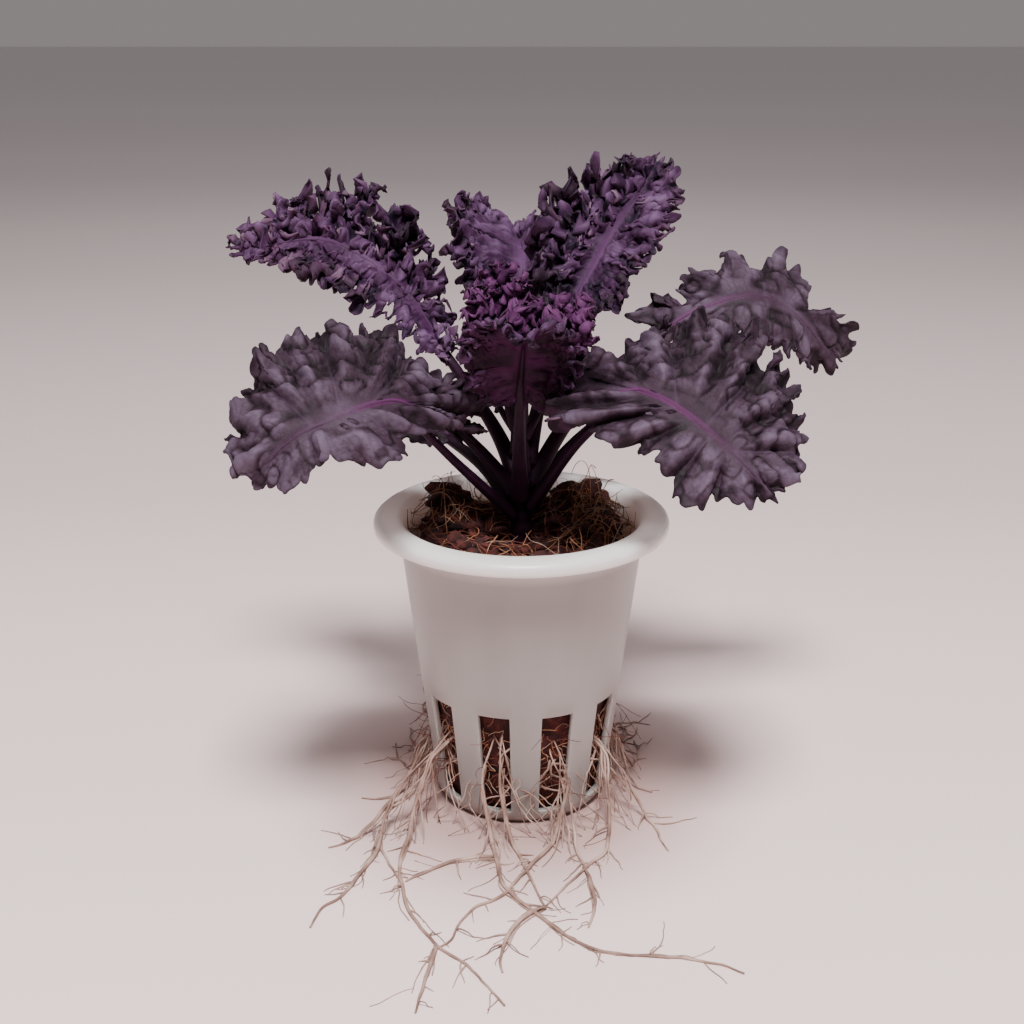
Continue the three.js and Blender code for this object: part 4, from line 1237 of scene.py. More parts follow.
LEAVES = (
    Leaf(
        "leaf_front_left", 1, 26, 8, -85, -20, (-0.15, -0.75, 0.65),
        ((-1.5, -1.3, 63.5), (-12.4, -9, 76.8), (-18.4, -14.6, 84.6)),
        ((-21.4, -18.0, 91.6), (-25.3, -21.0, 93.1), (-31.5, -26.0, 92.7), (-36.7, -29.5, 91.1), (-40.5, -31.5, 89.8),
         (-44.1, -33.0, 87.2), (-46.6, -34.0, 84.1)),
        (15.5, 18, 29.5, 22, 21, 21.5, 27.5, 28.5, 26, 28.5, 25.5, 23, 22.5, 18.5, 16.5, 14.5, 11, 9, 7, 4.5),
        (13, 12, 13.5, 16.5, 17, 15, 12.5, 12, 14, 13.5, 13.5, 10.5, 6, 9.5, 9.5, 11, 9, 7, 5.5, 4.5),
        **FRONT, crisp=22, blister=1.8, puff=0.42, pleat=0.6, rough=1, fade=(0.15, 0.6), stalk_radius=(1.25, 0.85),
        holes=((0.47, 0.2, 0.016, 0.07, -1), (0.52, 0.2, 0.014, 0.06, -1), (0.03, 0.09, 0.02, 0.04, -1))),
    Leaf(
        "leaf_front_right", 8, 26, 8, -85, -20, (0.15, -0.75, 0.65),
        ((1.7, -1.3, 65.5), (11.5, -8.5, 82), (16.0, -14.5, 89)),
        ((19.0, -17.5, 93.8), (22.2, -19.5, 94.8), (25.8, -22.0, 94.1), (29.6, -25.0, 92.4), (33.6, -28.0, 89.8),
         (37.7, -30.5, 86.7), (41.2, -32.5, 83.6), (44.0, -34.0, 80.7)),
        (19.5, 19.5, 21.5, 21.5, 22.5, 23.5, 24, 17.5, 16.5, 15, 10, 12.5, 14, 14, 11, 8, 9, 8, 6.5, 4.5),
        (21, 23.5, 23, 19.5, 21, 23, 22.5, 26, 27.5, 30, 29, 25.5, 23.5, 19, 17, 13.5, 11, 9.5, 7, 4.5),
        **FRONT, crisp=24, blister=1.7, puff=0.38, pleat=0.9, rough=-1, tint=(0.01, 0.01), fade=(0.3, 0.8),
        stalk_radius=(1.45, 1.0),
        holes=((0.33, 0.16, 0.015, 0.045, 1), (0.37, 0.29, 0.015, 0.04, 1), (0.39, 0.12, 0.015, 0.04, 1))),
    Leaf(
        "leaf_front_inner", 5, 8, 16, -35, 0, (0, 0.8, 0.6),
        ((-0.2, -1.9, 68), (-0.5, -6.5, 79), (-0.6, -10, 90)),
        ((-0.5, -10.5, 92), (0, -12.5, 99), (0.3, -15, 103), (0.5, -19, 104)),
        (5.5, 9, 11, 10, 8, 4), (5.5, 9, 11, 10, 8, 4), cup=(0, 10), frill=24, crisp=40, pinch=10, depth=4, sinus=1.8,
        bite=1.4, lobe=5, blister=2.4, puff=0.4, pleat=0.1, crinkle=1.0, crumple=2.2, rows=280, half=30),
    Leaf(
        "leaf_left_inner", 2, 16, 50, -60, -10, (0.1, -0.8, 0.6),
        ((-1.9, 0.2, 68.5), (-8, 0.2, 76.6), (-12.5, -0.6, 81.4)),
        ((-12.5, -0.4, 82), (-17, -1, 87), (-22.5, -2.4, 91.6), (-28, -4, 94.4)),
        (3, 5, 7, 7, 5, 3), (2, 2.5, 3, 3, 3, 2), pleat=0.4, rows=140, half=14),
    Leaf(
        "leaf_right", 7, 22, 24, -60, -20, (0, -0.6, 0.8),
        ((1.9, 0.3, 70), (9.1, 4, 81.7), (18.5, 8, 92.2), (28, 11.6, 98.4)),
        ((31.6, 12.4, 101.2), (37.8, 14.5, 104.0), (48.0, 16.0, 106.5), (57.3, 18.0, 103.2), (64.6, 18.0, 95.6)),
        (4, 5, 6, 6.5, 7, 8, 9, 9.5, 10, 10.5, 11, 11, 11, 11, 10, 10, 10, 9.5, 8, 6),
        (5, 8, 12, 13, 9.5, 8, 13.5, 15, 11, 15, 11, 14, 18.5, 15, 9, 18, 17, 13, 10, 6),
        frill=24, crisp=36, sinus=4.6, bite=1.5, lobe=11, teeth=4, blister=2.6, puff=0.5, pleat=0.3, fade=(0.1, 0.6),
        rows=300, half=34),
    Leaf(
        "leaf_back_left", 3, 10, 6, -45, 0, (0.25, -0.8, 0.55),
        ((-1.2, 1.4, 72), (-6.2, 7.8, 81), (-14.5, 10.8, 93)),
        ((-15.2, 11.0, 94.5), (-22.4, 16.0, 105.0), (-31.0, 20.0, 112.6), (-42.2, 23.0, 117.2), (-55.5, 24.0, 115.8)),
        (1.2, 2.5, 3.5, 5, 6, 9, 10, 11, 13.5, 15, 15.5, 17.5, 16.5, 16, 14.5, 12.5, 12, 11, 9.5, 6),
        (1.2, 2.5, 4.5, 6.5, 7.5, 6.5, 8.5, 8.5, 8, 11, 11, 9.5, 10.5, 11.5, 10, 8.5, 8, 8, 7.5, 6),
        **BACK, frill=14, crisp=32, pinch=12, depth=0.6, sinus=4.6, bite=1.9, lobe=7.5, teeth=4, cleft=1.0, pleat=0.3,
        crinkle=1.35, crumple=2.4, rough=1, tint=(-0.08, 0.1), fade=(0.0, 0.3),
        holes=((0.12, 0.7, 0.03, 0.2, 1), (0.27, 0.72, 0.022, 0.16, 1), (0.42, 0.66, 0.018, 0.14, 1),
               (0.56, 0.74, 0.016, 0.14, 1), (0.7, 0.7, 0.014, 0.12, 1), (0.2, 0.7, 0.024, 0.2, -1),
               (0.34, 0.72, 0.02, 0.18, -1))),
    Leaf(
        "leaf_back_right", 6, 9, 8, -55, 0, (-0.3, -0.85, 0.4),
        ((1.2, 1.4, 74), (4.5, 8, 88), (9.5, 13, 99)),
        ((10.2, 13.5, 101.5), (12.5, 18.5, 107.3), (15.8, 22.0, 112.5), (19.8, 27.0, 118.8), (23.6, 30.0, 123.8),
         (27.0, 33.0, 128.3)),
        (2.5, 5.5, 9, 7.5, 8, 8.5, 10.5, 11, 10, 11, 10, 12, 12, 13, 12, 12.5, 12, 10.5, 9, 7),
        (2.5, 4.5, 6, 8, 9, 11, 12, 13, 13.5, 14, 15.5, 16, 15.5, 14, 13, 13, 11.5, 10, 9, 7),
        **BACK, cup=(15, 0), frill=26, crisp=40, pinch=20, depth=1.1, sinus=2.6, bite=1.7, lobe=6, teeth=3.5, pleat=0.5,
        crinkle=1.45, crumple=2.3, rough=-1, tint=(-0.12, -0.05)),
    Leaf(
        "leaf_back", 4, 9, 14, -35, 10, (0, -0.9, 0.5),
        ((-0.4, 1.6, 76), (-0.6, 12, 88), (0, 21, 98.4)),
        ((0.2, 22.5, 99.6), (0.4, 27.5, 107.6), (0.3, 33.5, 112.6), (0, 40, 114.4), (-0.4, 46, 113.8)),
        (6, 7, 8, 9, 8, 5), (7, 10, 16, 18, 14, 5), cup=(8, 34), frill=18, crisp=34, depth=4, sinus=2.2, bite=1.6,
        lobe=6, blister=2.4, puff=0.5, pleat=0.3, crinkle=0.9, crumple=2.4, rough=-1, thickness=0.32, rows=320,
        half=30),
    Leaf(
        "leaf_rear", 11, 26, 40, -60, -15, (0, -0.4, 0.9),
        ((-0.1, 1.9, 68), (0.3, 12, 80), (0.6, 22, 88)),
        ((0.6, 21, 88), (1, 32, 92.5), (1.5, 43, 92), (1, 53, 87)),
        (9, 12, 14, 14, 12, 6), (9, 12, 14, 14, 12, 6), cup=(5, 0), **REAR),
    Leaf(
        "leaf_rear_left", 12, 26, 40, -60, -20, (-0.1, -0.1, 1),
        ((-1.5, 1.3, 64.5), (-8, 8, 71.5), (-17, 17, 76)),
        ((-16, 16, 76.5), (-26, 26, 80), (-35, 34, 79.5), (-43, 41, 74)),
        (2, 8, 15, 15, 13, 7), (2, 8, 14, 14, 12, 7), **REAR),
    Leaf(
        "leaf_rear_right", 13, 26, 40, -60, -20, (0.1, -0.1, 1),
        ((1.8, 0.9, 65.5), (9.5, 8.5, 74.5), (17, 17, 80)),
        ((16, 16, 80), (26, 26, 84), (36, 35, 83), (44, 42, 77)),
        (2, 8, 14, 14, 12, 7), (2, 8, 15, 15, 13, 7), **REAR),
)

HEART = (
    Leaf(
        "heart_leaves", 9, 4.6, 26, -35, 0, (0.2, -0.9, 0.3),
        ((-0.6, -0.2, 80), (-2.6, -0.8, 86), (-4, -1, 91)),
        ((-3.6, -1, 91), (-4.0, -1, 99), (-4.4, 0.2, 107), (-4.6, 3, 111.5)),
        (5, 7, 8, 8.5, 7.5, 4), (5, 7, 8, 8.5, 7.5, 4), cup=(30, 30), **CENTRE, blister=1.9, rows=300, half=26,
        stalk_radius=(0.9, 0.6)),
    Leaf(
        "heart_leaves", 10, 4.6, 26, -35, 0, (-0.2, -0.9, 0.3),
        ((0.6, -0.1, 80), (3.4, 1.2, 85), (5.4, 2.2, 90)),
        ((5.4, 2.2, 89), (7.4, 2.6, 96), (9.4, 3.4, 101.5), (11.4, 5, 105)),
        (6, 7, 8, 8, 7, 3), (6, 7, 8, 8, 7, 3), cup=(30, 30), **CENTRE, blister=1.9, rows=300, half=26,
        stalk_radius=(0.9, 0.6)),
    Leaf(
        "heart_leaves", 21, 4.4, 26, -35, 0, (0.1, -1, 0.2),
        ((0, -0.8, 79), (0.6, -2.4, 86), (1.0, -3.6, 91)),
        ((1.0, -3.8, 91), (1.6, -4.4, 97), (2.2, -4.2, 102), (2.6, -3.0, 106)),
        (5, 7, 8, 8, 6, 3), (5, 7, 8, 8, 6, 3), cup=(20, 20), **CENTRE, blister=1.8, rows=280, half=24,
        stalk_radius=(0.8, 0.5)),
    Leaf(
        "heart_leaves", 22, 4.4, 26, -35, 0, (0.5, -0.9, 0.1),
        ((-0.4, 0.4, 80), (-4.4, 1.6, 86), (-7.0, 2.6, 91)),
        ((-6.6, 2.6, 92), (-7.6, 3.6, 97), (-8.2, 5.2, 102), (-8.6, 7.0, 106)),
        (3, 4, 5, 5, 4.5, 3), (3, 4, 5, 5, 4.5, 3), cup=(25, 25), **CENTRE, blister=1.8, rows=280, half=24,
        stalk_radius=(0.8, 0.5)),
)

# the leaves of the second ring, which keep more bloom than the grown ones
YOUNG = ("leaf_front_inner", "leaf_back_left", "leaf_back_right", "leaf_back")

LEAFLET = Leaf(
    "leaf_left_inner", 31, 6, 4, -30, 0, (0, -0.9, 0.45),
    ((-9.6, -0.3, 79), (-11.6, -0.9, 81.2), (-12.3, -1.6, 82.6)),
    ((-12.3, -1.6, 82.6), (-10.5, -1.8, 82.8), (-8.7, -1.9, 82.6), (-7.2, -2, 82.1)),
    (0.6, 1.2, 1.2, 0.4), (0.6, 1.2, 1.1, 0.4), frill=4, crisp=4, sinus=0.1, bite=0.1, lobe=3, blister=1.5, puff=0.1,
    pleat=0, crinkle=0, fade=(0, 0.1), rows=40, half=8, stalk_radius=(0.4, 0.3))


# ---------------------------------------------------------------- stem


@dataclass
class Stem:
    """The short stem that the leaves stand round, thick and knotted where they leave it."""

    section: tuple[tuple[float, float], ...] = (    # its height and radius, from foot to top
        (46, 2.2), (58, 2.4), (64, 2.2), (72, 2.1), (78, 1.6), (80.6, 0.9), (81, 0.4))

    def build(self, material: bpy.types.Material) -> bpy.types.Object:
        """Makes the stem.

        Args:
            material: Its material.

        Returns:
            The piece.
        """
        heights, radii = zip(*self.section)
        z = np.linspace(heights[0], heights[-1], 60)
        radii = np.interp(z, heights, radii) + 0.12 * np.sin(z * 1.9)      # the scars of fallen leaves
        path = np.stack([0.15 * np.sin(z * 0.35), 0.15 * np.cos(z * 0.3), z], 1)
        sheet = tube_sheet(path, radii, 28)
        bumps = 0.18 * lumps(sheet, 2.2, 5)
        centre = np.vstack([path[:1], path, path[-1:]])[:, None]
        sheet = sheet + unit(sheet - centre) * bumps[..., None]
        sheet[:, -1] = sheet[:, 0]
        mesh = grid_mesh(sheet, {}, uv=True)
        return publish("stem_column", mesh, [material], "stalk", "stem")


# ---------------------------------------------------------------- roots


@dataclass
class RootSystem:
    """The bare roots of one or more slots: the main ones, thinner ones beside them, and their side roots."""

    node: str
    strands: tuple[tuple[Point, ...], ...]
    seed: int
    thick: float = 0.66           # radius of a main root where it leaves the slot
    thin: float = 0.2             # radius of its tip
    companions: int = 2           # thinner roots beside each main one
    curls: int = 4                # roots that wind about in the slot of each
    lie: float = 0.77             # height of a main root's middle where it lies on the ground
    inside: float = 8.0           # a root that starts above this height comes out of the coir

    def main_path(self, strand: tuple[Point, ...]) -> np.ndarray:
        """Draws a main root.

        Args:
            strand: The points on its course, where two numbers mean that it lies on the ground.

        Returns:
            Points on it, about a millimetre apart.
        """
        points = np.array([(p[0], p[1], p[2] if len(p) > 2 else self.lie) for p in strand])
        if points[0, 2] > self.inside:      # it starts deeper in the coir than the slot
            points = np.vstack([points[0] * (0.85, 0.85, 1) + (0, 0, 1.5), points])
        path = smooth_curve(points, 40)
        return smooth_curve(points, max(12, int(path_length(path) / 1.1)))

    def beside(self, rng: np.random.Generator, path: np.ndarray, amount: float) -> np.ndarray:
        """Draws a thinner root beside a main one.

        Args:
            rng: The source of its bends.
            path: The main root's points.
            amount: How far it may drift away.

        Returns:
            Its points.
        """
        if path[0, 2] > self.inside:        # it leaves the coir lower down
            path = path[int(rng.integers(0, max(1, np.sum(path[:, 2] > 5)))):]
        s = np.linspace(0, 1, len(path))[:, None]
        seed = int(rng.integers(1, 9999))
        drift = np.stack([lumps(path, 14.0, seed), lumps(path, 14.0, seed + 1)], 1) * amount * (0.4 + s)
        wobble = np.stack([lumps(path, 3.0, seed + 2), lumps(path, 3.0, seed + 3)], 1) * 0.5
        moved = path.copy()
        moved[:, :2] += drift + wobble
        if path[0, 2] > 2:                  # its first points are tucked into the coir
            moved[:, :2] *= (0.86 + 0.14 * smoothstep(np.arange(len(moved)), 0, 5))[:, None]
        return moved

    def curl(self, rng: np.random.Generator, path: np.ndarray) -> np.ndarray:
        """Draws a thin root that winds about in a slot and then hangs down to the ground.

        Args:
            rng: The source of its bends.
            path: The main root that leaves the same slot.

        Returns:
            Its points.
        """
        foot = path[np.argmax(path[:, 2] < 9)]
        out = math.atan2(foot[1], foot[0]) + rng.normal(0, 0.16)
        count = rng.integers(14, 26)
        s = np.linspace(0, 1, count)
        radius = 18.6 + (3.0 + rng.uniform(1, 6)) * s**2 + 0.3 * np.sin(9 * s)
        angle = out + 0.055 * np.cumsum(np.sin(np.cumsum(rng.normal(0, 0.8, count))))
        z = (rng.uniform(9, 24)) * (1 - s) ** 0.8 + 1.6 * np.sin(7 * s + rng.uniform(0, 6)) * (1 - s)
        return np.stack([radius * np.cos(angle), radius * np.sin(angle), z], 1)

    def side_root(self, rng: np.random.Generator, path: np.ndarray, at: int, length: float) -> np.ndarray:
        """A short side root that leaves a root and bends away from it.

        Args:
            rng: The source of its bends.
            path: The root that it leaves.
            at: The point that it leaves it from.
            length: Its length.

        Returns:
            Its points.
        """
        start = path[at]
        direction = unit(path[min(at + 1, len(path) - 1)] - path[max(at - 1, 0)])
        heading = math.atan2(direction[1], direction[0]) + rng.choice((-1, 1)) * rng.uniform(0.5, 1.25)
        count = max(6, int(length / 0.9))
        angle = heading + rng.normal(0, 0.06) * np.arange(count) + np.cumsum(rng.normal(0, 0.16, count))
        step = length / count
        x = start[0] + np.r_[0, np.cumsum(np.cos(angle)) * step]
        y = start[1] + np.r_[0, np.cumsum(np.sin(angle)) * step]
        fall = np.linspace(0, 1, count + 1)
        z = start[2] * (1 - fall) ** 1.5 + 0.2 * fall + 0.5 * np.sin(np.pi * fall) * rng.random()
        return np.stack([x, y, z], 1)

    def build(self, material: bpy.types.Material) -> bpy.types.Object:
        """Grows the roots.

        Args:
            material: Their material.

        Returns:
            The piece.
        """
        rng = np.random.default_rng(self.seed)
        bundle = Strands(1)
        for strand in self.strands:
            path = self.main_path(strand)
            s = np.linspace(0, 1, len(path))
            seed = int(rng.integers(1, 9999))
            path[:, :2] += np.stack([lumps(path, 2.4, seed), lumps(path, 2.4, seed + 1)], 1) * 0.22
            size = self.thick * rng.uniform(0.8, 1.05)
            radii = (size + (self.thin - size) * s**0.9) * (1 + 0.14 * lumps(path, 1.9, seed + 2))
            out_of_coir = path[0, 2] > self.inside
            if out_of_coir:               # a root is thin in the slot and thickens below it
                radii *= 0.3 + 0.7 * smoothstep(path[0, 2] - path[:, 2], 4, 19)
            else:
                radii *= 0.5 + 0.5 * smoothstep(s, 0, 0.2)
            self.lay(bundle, path, radii)
            self.branch(rng, bundle, path, radii, 1.0)
            for _ in range(self.companions):
                share = rng.uniform(0.35, 0.98)
                beside = self.beside(rng, path[: max(8, int(share * len(path)))], rng.uniform(1.2, 4.0))
                slim = rng.uniform(0.18, 0.34) * (1 - 0.6 * np.linspace(0, 1, len(beside)))
                self.lay(bundle, beside, slim)
                self.branch(rng, bundle, beside, slim, 0.5)
            for _ in range(self.curls if out_of_coir else 0):
                curl = self.curl(rng, path)
                self.lay(bundle, curl, np.linspace(rng.uniform(0.16, 0.3), 0.08, len(curl)))
        return publish(f"{self.node}_bare", bundle.mesh(), [material], "root", self.node)

    def lay(self, bundle: Strands, path: np.ndarray, radii: np.ndarray) -> None:
        """Adds a root to the bundle, resting on the ground and never through it.

        Args:
            bundle: Where it goes.
            path: Its points.
            radii: Its radius at each of them.
        """
        rested = path.copy()
        lowest = radii + 0.02
        rested[:, 2] = np.maximum(np.where(path[:, 2] <= self.lie + 0.05, lowest, path[:, 2]), lowest)
        bundle.add(rested, radii)

    def branch(self, rng: np.random.Generator, bundle: Strands, path: np.ndarray, radii: np.ndarray,
               share: float) -> None:
        """Adds side roots along a root.

        Args:
            rng: The source of their places.
            bundle: Where they go.
            path: The root that they leave.
            radii: Its radius at each point.
            share: How thickly they stand, 1 for a main root.
        """
        count = int(len(path) * 0.2 * share)
        for at in rng.integers(2, len(path) - 1, count):
            long = rng.uniform(2, 7) if rng.random() < 0.86 else rng.uniform(7, 12)
            twig = self.side_root(rng, path, int(at), long)
            start = min(0.3, 0.8 * radii[at]) * rng.uniform(0.6, 1)
            self.lay(bundle, twig, np.linspace(start, 0.08, len(twig)))


# the course of each slot's main roots, by CAD node
ROOTS: dict[str, tuple[tuple[Point, ...], ...]] = {
    "roots_front": (
        ((-15.9, -12.9, 18), (-18.6, -15.8, 15.5), (-20.6, -18.2, 11.5), (-22.4, -20.4, 5), (-23.4, -25), (-24.6, -33),
         (-23.7, -39.9), (-21.4, -49.7), (-15.7, -59.8), (-9.5, -66.1), (-3.2, -76.3)),
        ((-15.7, -59.8), (-16.9, -66.1), (-18.5, -78.1)),
        ((-16.4, -12.4, 16), (-22, -16, 12.5), (-27, -19.4, 7), (-29.2, -25.7), (-26.1, -34.7), (-23.7, -39.9)),
        ((-29, -23.6, 2), (-29.6, -29.4), (-31.5, -34.7), (-35.3, -44.9), (-38.4, -48.1), (-39.8, -54.4)),
        ((-26.6, -19.2, 7.4), (-30.4, -20.6, 3), (-34, -23.6), (-37.5, -26.4), (-39.9, -27.5)),
        ((-6.4, -19.7, 19), (-8, -21.6, 12.2), (-7.1, -23.8, 5.6), (-5.9, -27.5), (-5, -33), (-3.3, -41.6),
         (2.4, -49.7), (8.8, -57.4), (14.1, -61.2), (21.3, -62.7), (28.5, -63.3), (35.5, -65.2), (39.6, -67.7)),
        ((-4.2, -20.3, 20), (-4.6, -21.9, 12.2), (-3.2, -24.4, 5), (-1.8, -27.4), (-0.3, -31.2), (1.6, -38.2),
         (4.4, -48.1)),
        ((7.6, -19.5, 18.5), (9.5, -21.6, 12.2), (8, -23.8, 5), (6.4, -26.6), (4.8, -29.4), (-0.4, -38.2),
         (-4.3, -44.9), (-9, -48.1), (-11.7, -52.9), (-13.4, -58.3), (-15.7, -60.4)),
        ((6.6, -19.9, 16), (10, -22.2, 8.6), (10.8, -25.2, 3.4), (11.3, -29), (12.7, -34.7), (14.3, -41.6),
         (15.1, -44.9)),
        ((12.8, -35.2), (13.8, -42), (14, -48.1), (12.3, -54.4)),
        ((17.2, -11.5, 15.5), (18.2, -15.6, 8.4), (18.7, -19.2, 2.8), (18.2, -23.4), (17.1, -29.4), (13.8, -33.7),
         (9.5, -39.9), (6.4, -44.9), (4.4, -48.1)),
        ((17.2, -11.5, 15.5), (22.2, -13, 9), (24.9, -14.5, 4), (27, -16.8), (28.5, -21), (29.2, -25.7), (30.1, -28.6)),
        ((4.6, -47.9), (0.5, -51.3), (-2.3, -55.9), (-4.1, -63.3), (-3.6, -67.5)),
        ((-5.2, -30.6), (-8.5, -31.4), (-14.5, -33), (-19.3, -36.5), (-23, -39.6)),
    ),
    "roots_right": (
        ((20.6, 0.9, 14), (22.4, 1.6, 9), (24.2, 3.2, 4), (25.5, 6.2), (27.5, 12), (27, 18)),
        ((20.6, 0.9, 14), (22.5, 0, 8), (24, -1.6, 3.4), (25.8, -3.6), (29, -5.6)),
    ),
    "roots_rear_right": (
        ((16.2, 12.8, 15), (17.8, 14.8, 9), (19, 17.2, 4), (19.8, 20.6), (22, 28), (20, 36), (23, 43)),
        ((16.2, 12.8, 15), (18.4, 13.7, 8), (20.8, 14.8, 3.4), (22.8, 16.6), (25, 21), (24.5, 27)),
    ),
    "roots_rear": (
        ((5.5, 19.9, 16), (6, 21.8, 10), (6.6, 24.2, 4.2), (7.5, 27.6), (10, 36), (8, 44), (12, 53)),
        ((5.5, 19.9, 16), (4.7, 21.8, 9), (3.6, 24.2, 3.6), (3, 27.2), (4.5, 33), (2, 41)),
    ),
    "roots_rear_left": (
        ((-7.2, 19.4, 15), (-7.8, 21.5, 9), (-8.5, 24, 4), (-9.5, 27.6), (-8, 35), (-12, 44), (-11, 52)),
        ((-7.2, 19.4, 15), (-6.2, 21.7, 9), (-4.6, 24.2, 3.6), (-3.9, 27.6), (-5, 34)),
    ),
    "roots_left_rear": (
        ((-17.2, 11.4, 14), (-19.2, 13, 8), (-21, 15.2, 3.2), (-22.2, 18.6), (-20.5, 27), (-24, 35), (-22, 42)),
        ((-17.2, 11.4, 14), (-19.4, 12.1, 8), (-21.8, 12.8, 3.2), (-23.8, 14.2), (-26, 19), (-26.4, 24)),
    ),
    "roots_left": (
        ((-20.6, -0.9, 14), (-22.5, 0, 9), (-24.2, 2, 4), (-25.8, 5), (-28.4, 10.6), (-29.4, 16.6)),
        ((-20.6, -0.9, 14), (-22.6, -1.9, 9), (-24.7, -3.6, 4), (-27.2, -6), (-31, -8.5), (-35, -8)),
    ),
}


# ---------------------------------------------------------------- studio


@dataclass
class Studio:
    """A plain pale floor, soft lights and the camera."""

    eye: Point = (-1.945, -270.79, 157.75)        # mm
    pitch: float = 70.88                          # degrees, 90 looks level
    lens: float = 48.0
    floor: tuple[tuple[float, str], ...] = (      # the floor's colour at distances behind the pot, m: painted shade makes it darker behind the pot, and painted light lighter far away
        (-0.10, "#f8dedb"), (0.08, "#ead2d0"), (0.20, "#d8c3c1"), (0.42, "#d4c1c0"), (0.70, "#cebdbc"),
        (1.70, "#f2e6e8"), (3.00, "#fffafc"))
    painted_shadow: str = "#a07a74"                         # the painted shadow's colour round the pot, under the plant
    lamps: tuple[tuple[str, Point, float, float, float], ...] = (   # name, place and size in m, and watts
        ("overhead", (0.02, -0.38, 0.92), 0.26, 0.22, 18.0),
        ("left_lamp", (-0.8, 0.1, 0.7), 0.4, 0.4, 0.8),
        ("right_lamp", (0.8, 0.1, 0.7), 0.4, 0.4, 1.3),
        ("back_lamp", (0.0, 0.8, 0.75), 0.8, 0.4, 1.5))

    def build_floor(self) -> None:
        """Lays the floor, greyed by painted shade away from the front and lightened by painted light far back."""
        bm = bmesh.new()
        bmesh.ops.create_grid(bm, x_segments=8, y_segments=8, size=30)
        mesh = bpy.data.meshes.new("floor")
        bm.to_mesh(mesh)
        bm.free()
        # a matt board, with painted shade darkening it further back and painted light brightening it far away, and a
        # painted shadow round the pot and its roots
        material, tree, shader = new_material("matt_floor")
        where = add_node(tree, "ShaderNodeTexCoord").outputs["Object"]
        depth = add_node(tree, "ShaderNodeSeparateXYZ", {0: where}).outputs["Y"]
        first, last = self.floor[0][0], self.floor[-1][0]
        away = add_node(tree, "ShaderNodeMapRange", {"Value": depth, "From Min": first, "From Max": last}).outputs[0]
        stops = tuple(((place - first) / (last - first), colour) for place, colour in self.floor)
        floor_ramp = add_node(tree, "ShaderNodeValToRGB", {"Fac": away}, stops).outputs["Color"]
        distance = add_node(tree, "ShaderNodeVectorMath", {0: where}, operation="LENGTH").outputs["Value"]
        painted_shadow = add_node(tree, "ShaderNodeMapRange",
                        {"Value": distance, "From Min": 21 * MM, "From Max": 60 * MM, "To Min": 0.85, "To Max": 0.0},
                        interpolation_type="SMOOTHSTEP").outputs[0]
        colour = add_node(tree, "ShaderNodeMix", {MIX_FACTOR: painted_shadow, MIX_FIRST: floor_ramp, MIX_SECOND: self.painted_shadow},
                          data_type="RGBA").outputs[MIX_RESULT]
        set_inputs(tree, shader, {"Base Color": colour, "Roughness": 0.75})
        mesh.materials.append(material)
        floor = bpy.data.objects.new("floor", mesh)
        bpy.context.scene.collection.objects.link(floor)

    def build_lights(self) -> None:
        """Hangs a soft lamp overhead and weak ones at the sides and the back, in a grey room."""
        world = bpy.data.worlds.new("room")
        bpy.context.scene.world = world
        world.use_nodes = True
        tree = world.node_tree
        # the room is lighter behind the plant than behind the camera
        outwards = add_node(tree, "ShaderNodeTexCoord").outputs["Generated"]
        depth = add_node(tree, "ShaderNodeSeparateXYZ", {0: outwards}).outputs["Y"]
        glow = add_node(tree, "ShaderNodeMapRange",
                        {"Value": depth, "From Min": -0.9, "From Max": 0.4, "To Min": 0.16, "To Max": 0.36}).outputs[0]
        set_inputs(tree, tree.nodes["Background"], {"Color": "#dcd2d3", "Strength": glow})
        for name, place, wide, deep, power in self.lamps:
            light = bpy.data.lights.new(name, "AREA")
            light.shape, light.size, light.size_y, light.energy = "RECTANGLE", wide, deep, power
            holder = bpy.data.objects.new(name, light)
            holder.location = place
            holder.rotation_euler = (Vector((0, 0, 0.06)) - Vector(place)).to_track_quat("-Z", "Y").to_euler()
            bpy.context.scene.collection.objects.link(holder)

    def build_camera(self) -> None:
        """Stands the camera in front of the plant and makes it the scene's."""
        data = bpy.data.cameras.new("camera")
        data.lens, data.sensor_width = self.lens, 36.0
        data.clip_start, data.clip_end = 0.01, 50.0
        camera = bpy.data.objects.new("camera", data)
        camera.location = Vector(self.eye) * MM
        camera.rotation_euler = (math.radians(self.pitch), 0, 0)
        bpy.context.scene.collection.objects.link(camera)
        bpy.context.scene.camera = camera


# ---------------------------------------------------------------- plant


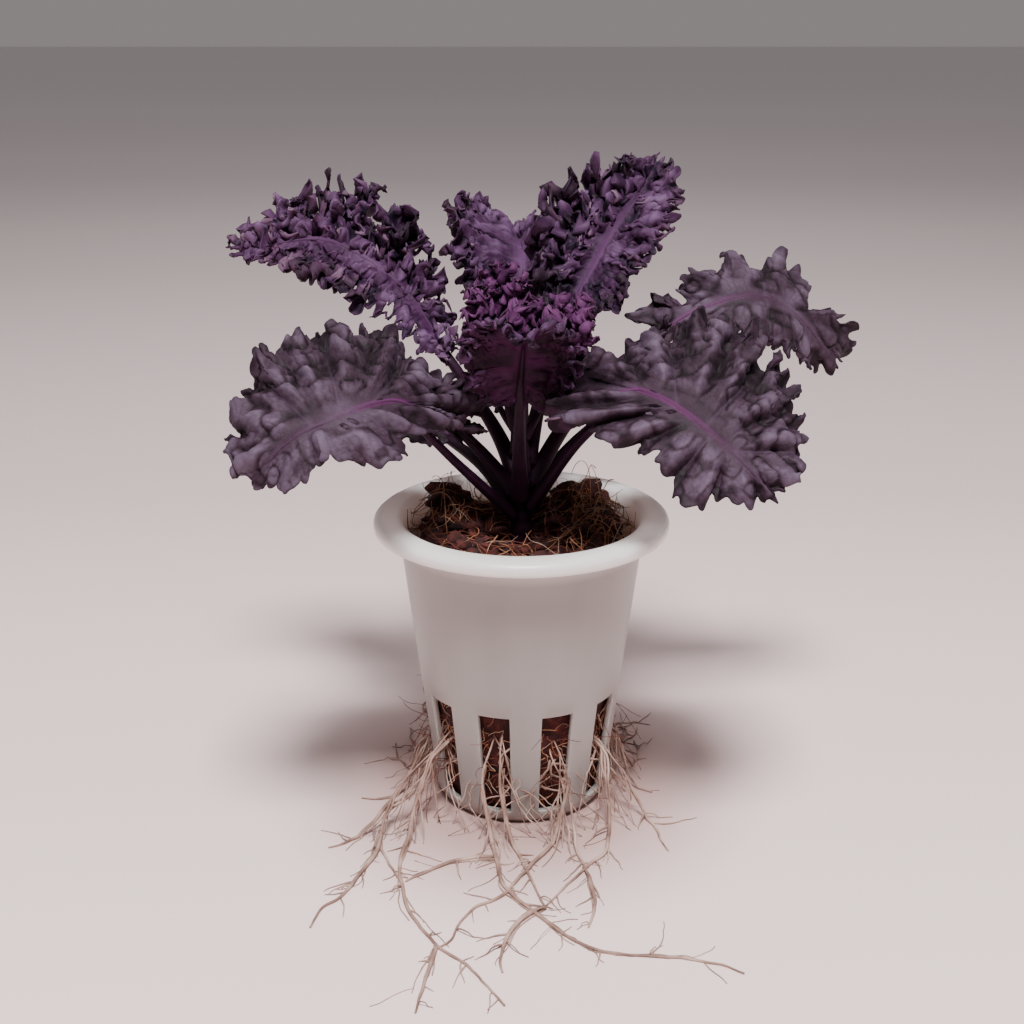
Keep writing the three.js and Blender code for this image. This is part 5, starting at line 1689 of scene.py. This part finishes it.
def main() -> None:
    """Builds every piece in order, from the studio to the roots."""
    logging.basicConfig(level=logging.INFO, format="%(name)s: %(message)s")
    studio = Studio()
    studio.build_camera()
    studio.build_floor()
    studio.build_lights()

    pot = NetPot()
    pot.build(PotFinish())
    coir = Coir(pot)
    husk = FibreFinish("coir_husk", "#190707", "#3a1413", "#602820", 2.6, 0.9, 0.4).build()
    dark_husk = FibreFinish("coir_husk_dark", "#050303", "#100706", "#25120d", 2.0, 0.85, 0.3).build()
    coir.build_mass(husk)
    coir.build_chips([husk, dark_husk])
    for tone, colours, count, thick in (
        (FibreTone.RUST, ("#401a14", "#622e22", "#80482e"), 150, (0.07, 0.14)),
        (FibreTone.GOLD, ("#824c34", "#a87050", "#c09472"), 160, (0.06, 0.12)),
        (FibreTone.PALE, ("#8c6e5c", "#ac8f7c", "#c4ad9a"), 34, (0.06, 0.1)),
    ):
        coir.build_fibres(tone, FibreFinish(f"coir_fibre_{tone.value}", *colours, 6.0).build(), count, thick)

    stalk = StalkFinish("kale_stalk_skin", "#10020c", "#30062a").build()
    Stem().build(stalk)
    grown, young, heart, below, under = (finish.build() for finish in (
        BladeFinish("kale_leaf_grown", "#14060f", "#33212f", "#58495a", "#5c4a5e", "#6a2062", "#1e0e1c"),
        BladeFinish("kale_leaf_young", "#15051b", "#3a1c3a", "#5c4160", "#5a3c5e", "#542258", "#4a2e48"),
        BladeFinish("kale_leaf_heart", "#1a0420", "#3e123a", "#60335c", "#5c3058", "#602858", "#502a4a"),
        # painted light: the undersides of most leaves are lighter than the one that faces the front, so that they show
        # in shade
        BladeFinish("kale_leaf_below_lightened", "#22101f", "#482a44", "#72586c", "#7c3672", "#86407c", "#34202e"),
        BladeFinish("kale_leaf_under", "#1c0216", "#2e0728", "#451b40", "#5c1050", "#601456", "#2c1228"),
    ))
    for leaf in LEAVES:
        turned = leaf.node == "leaf_front_inner"      # the one whose underside faces the front
        leaf.build_blade(young if leaf.node in YOUNG else grown, under if turned else below)
        leaf.build_stalk(stalk)
    LEAFLET.build_blade(grown, below, "leaflet_left")
    LEAFLET.build_stalk(stalk, "leaflet_left")
    for number, leaf in enumerate(HEART, 1):
        leaf.build_blade(heart, heart, f"heart_leaf_{number}")
        leaf.build_stalk(stalk, f"heart_leaf_{number}")

    root = FibreFinish("root_skin", "#70544a", "#9c7c70", "#bfa296", 5.0, 0.65, 0.1).build()
    for number, (node, strands) in enumerate(ROOTS.items(), 1):
        RootSystem(node, strands, 40 + number).build(root)


if __name__ == "__main__":
    main()
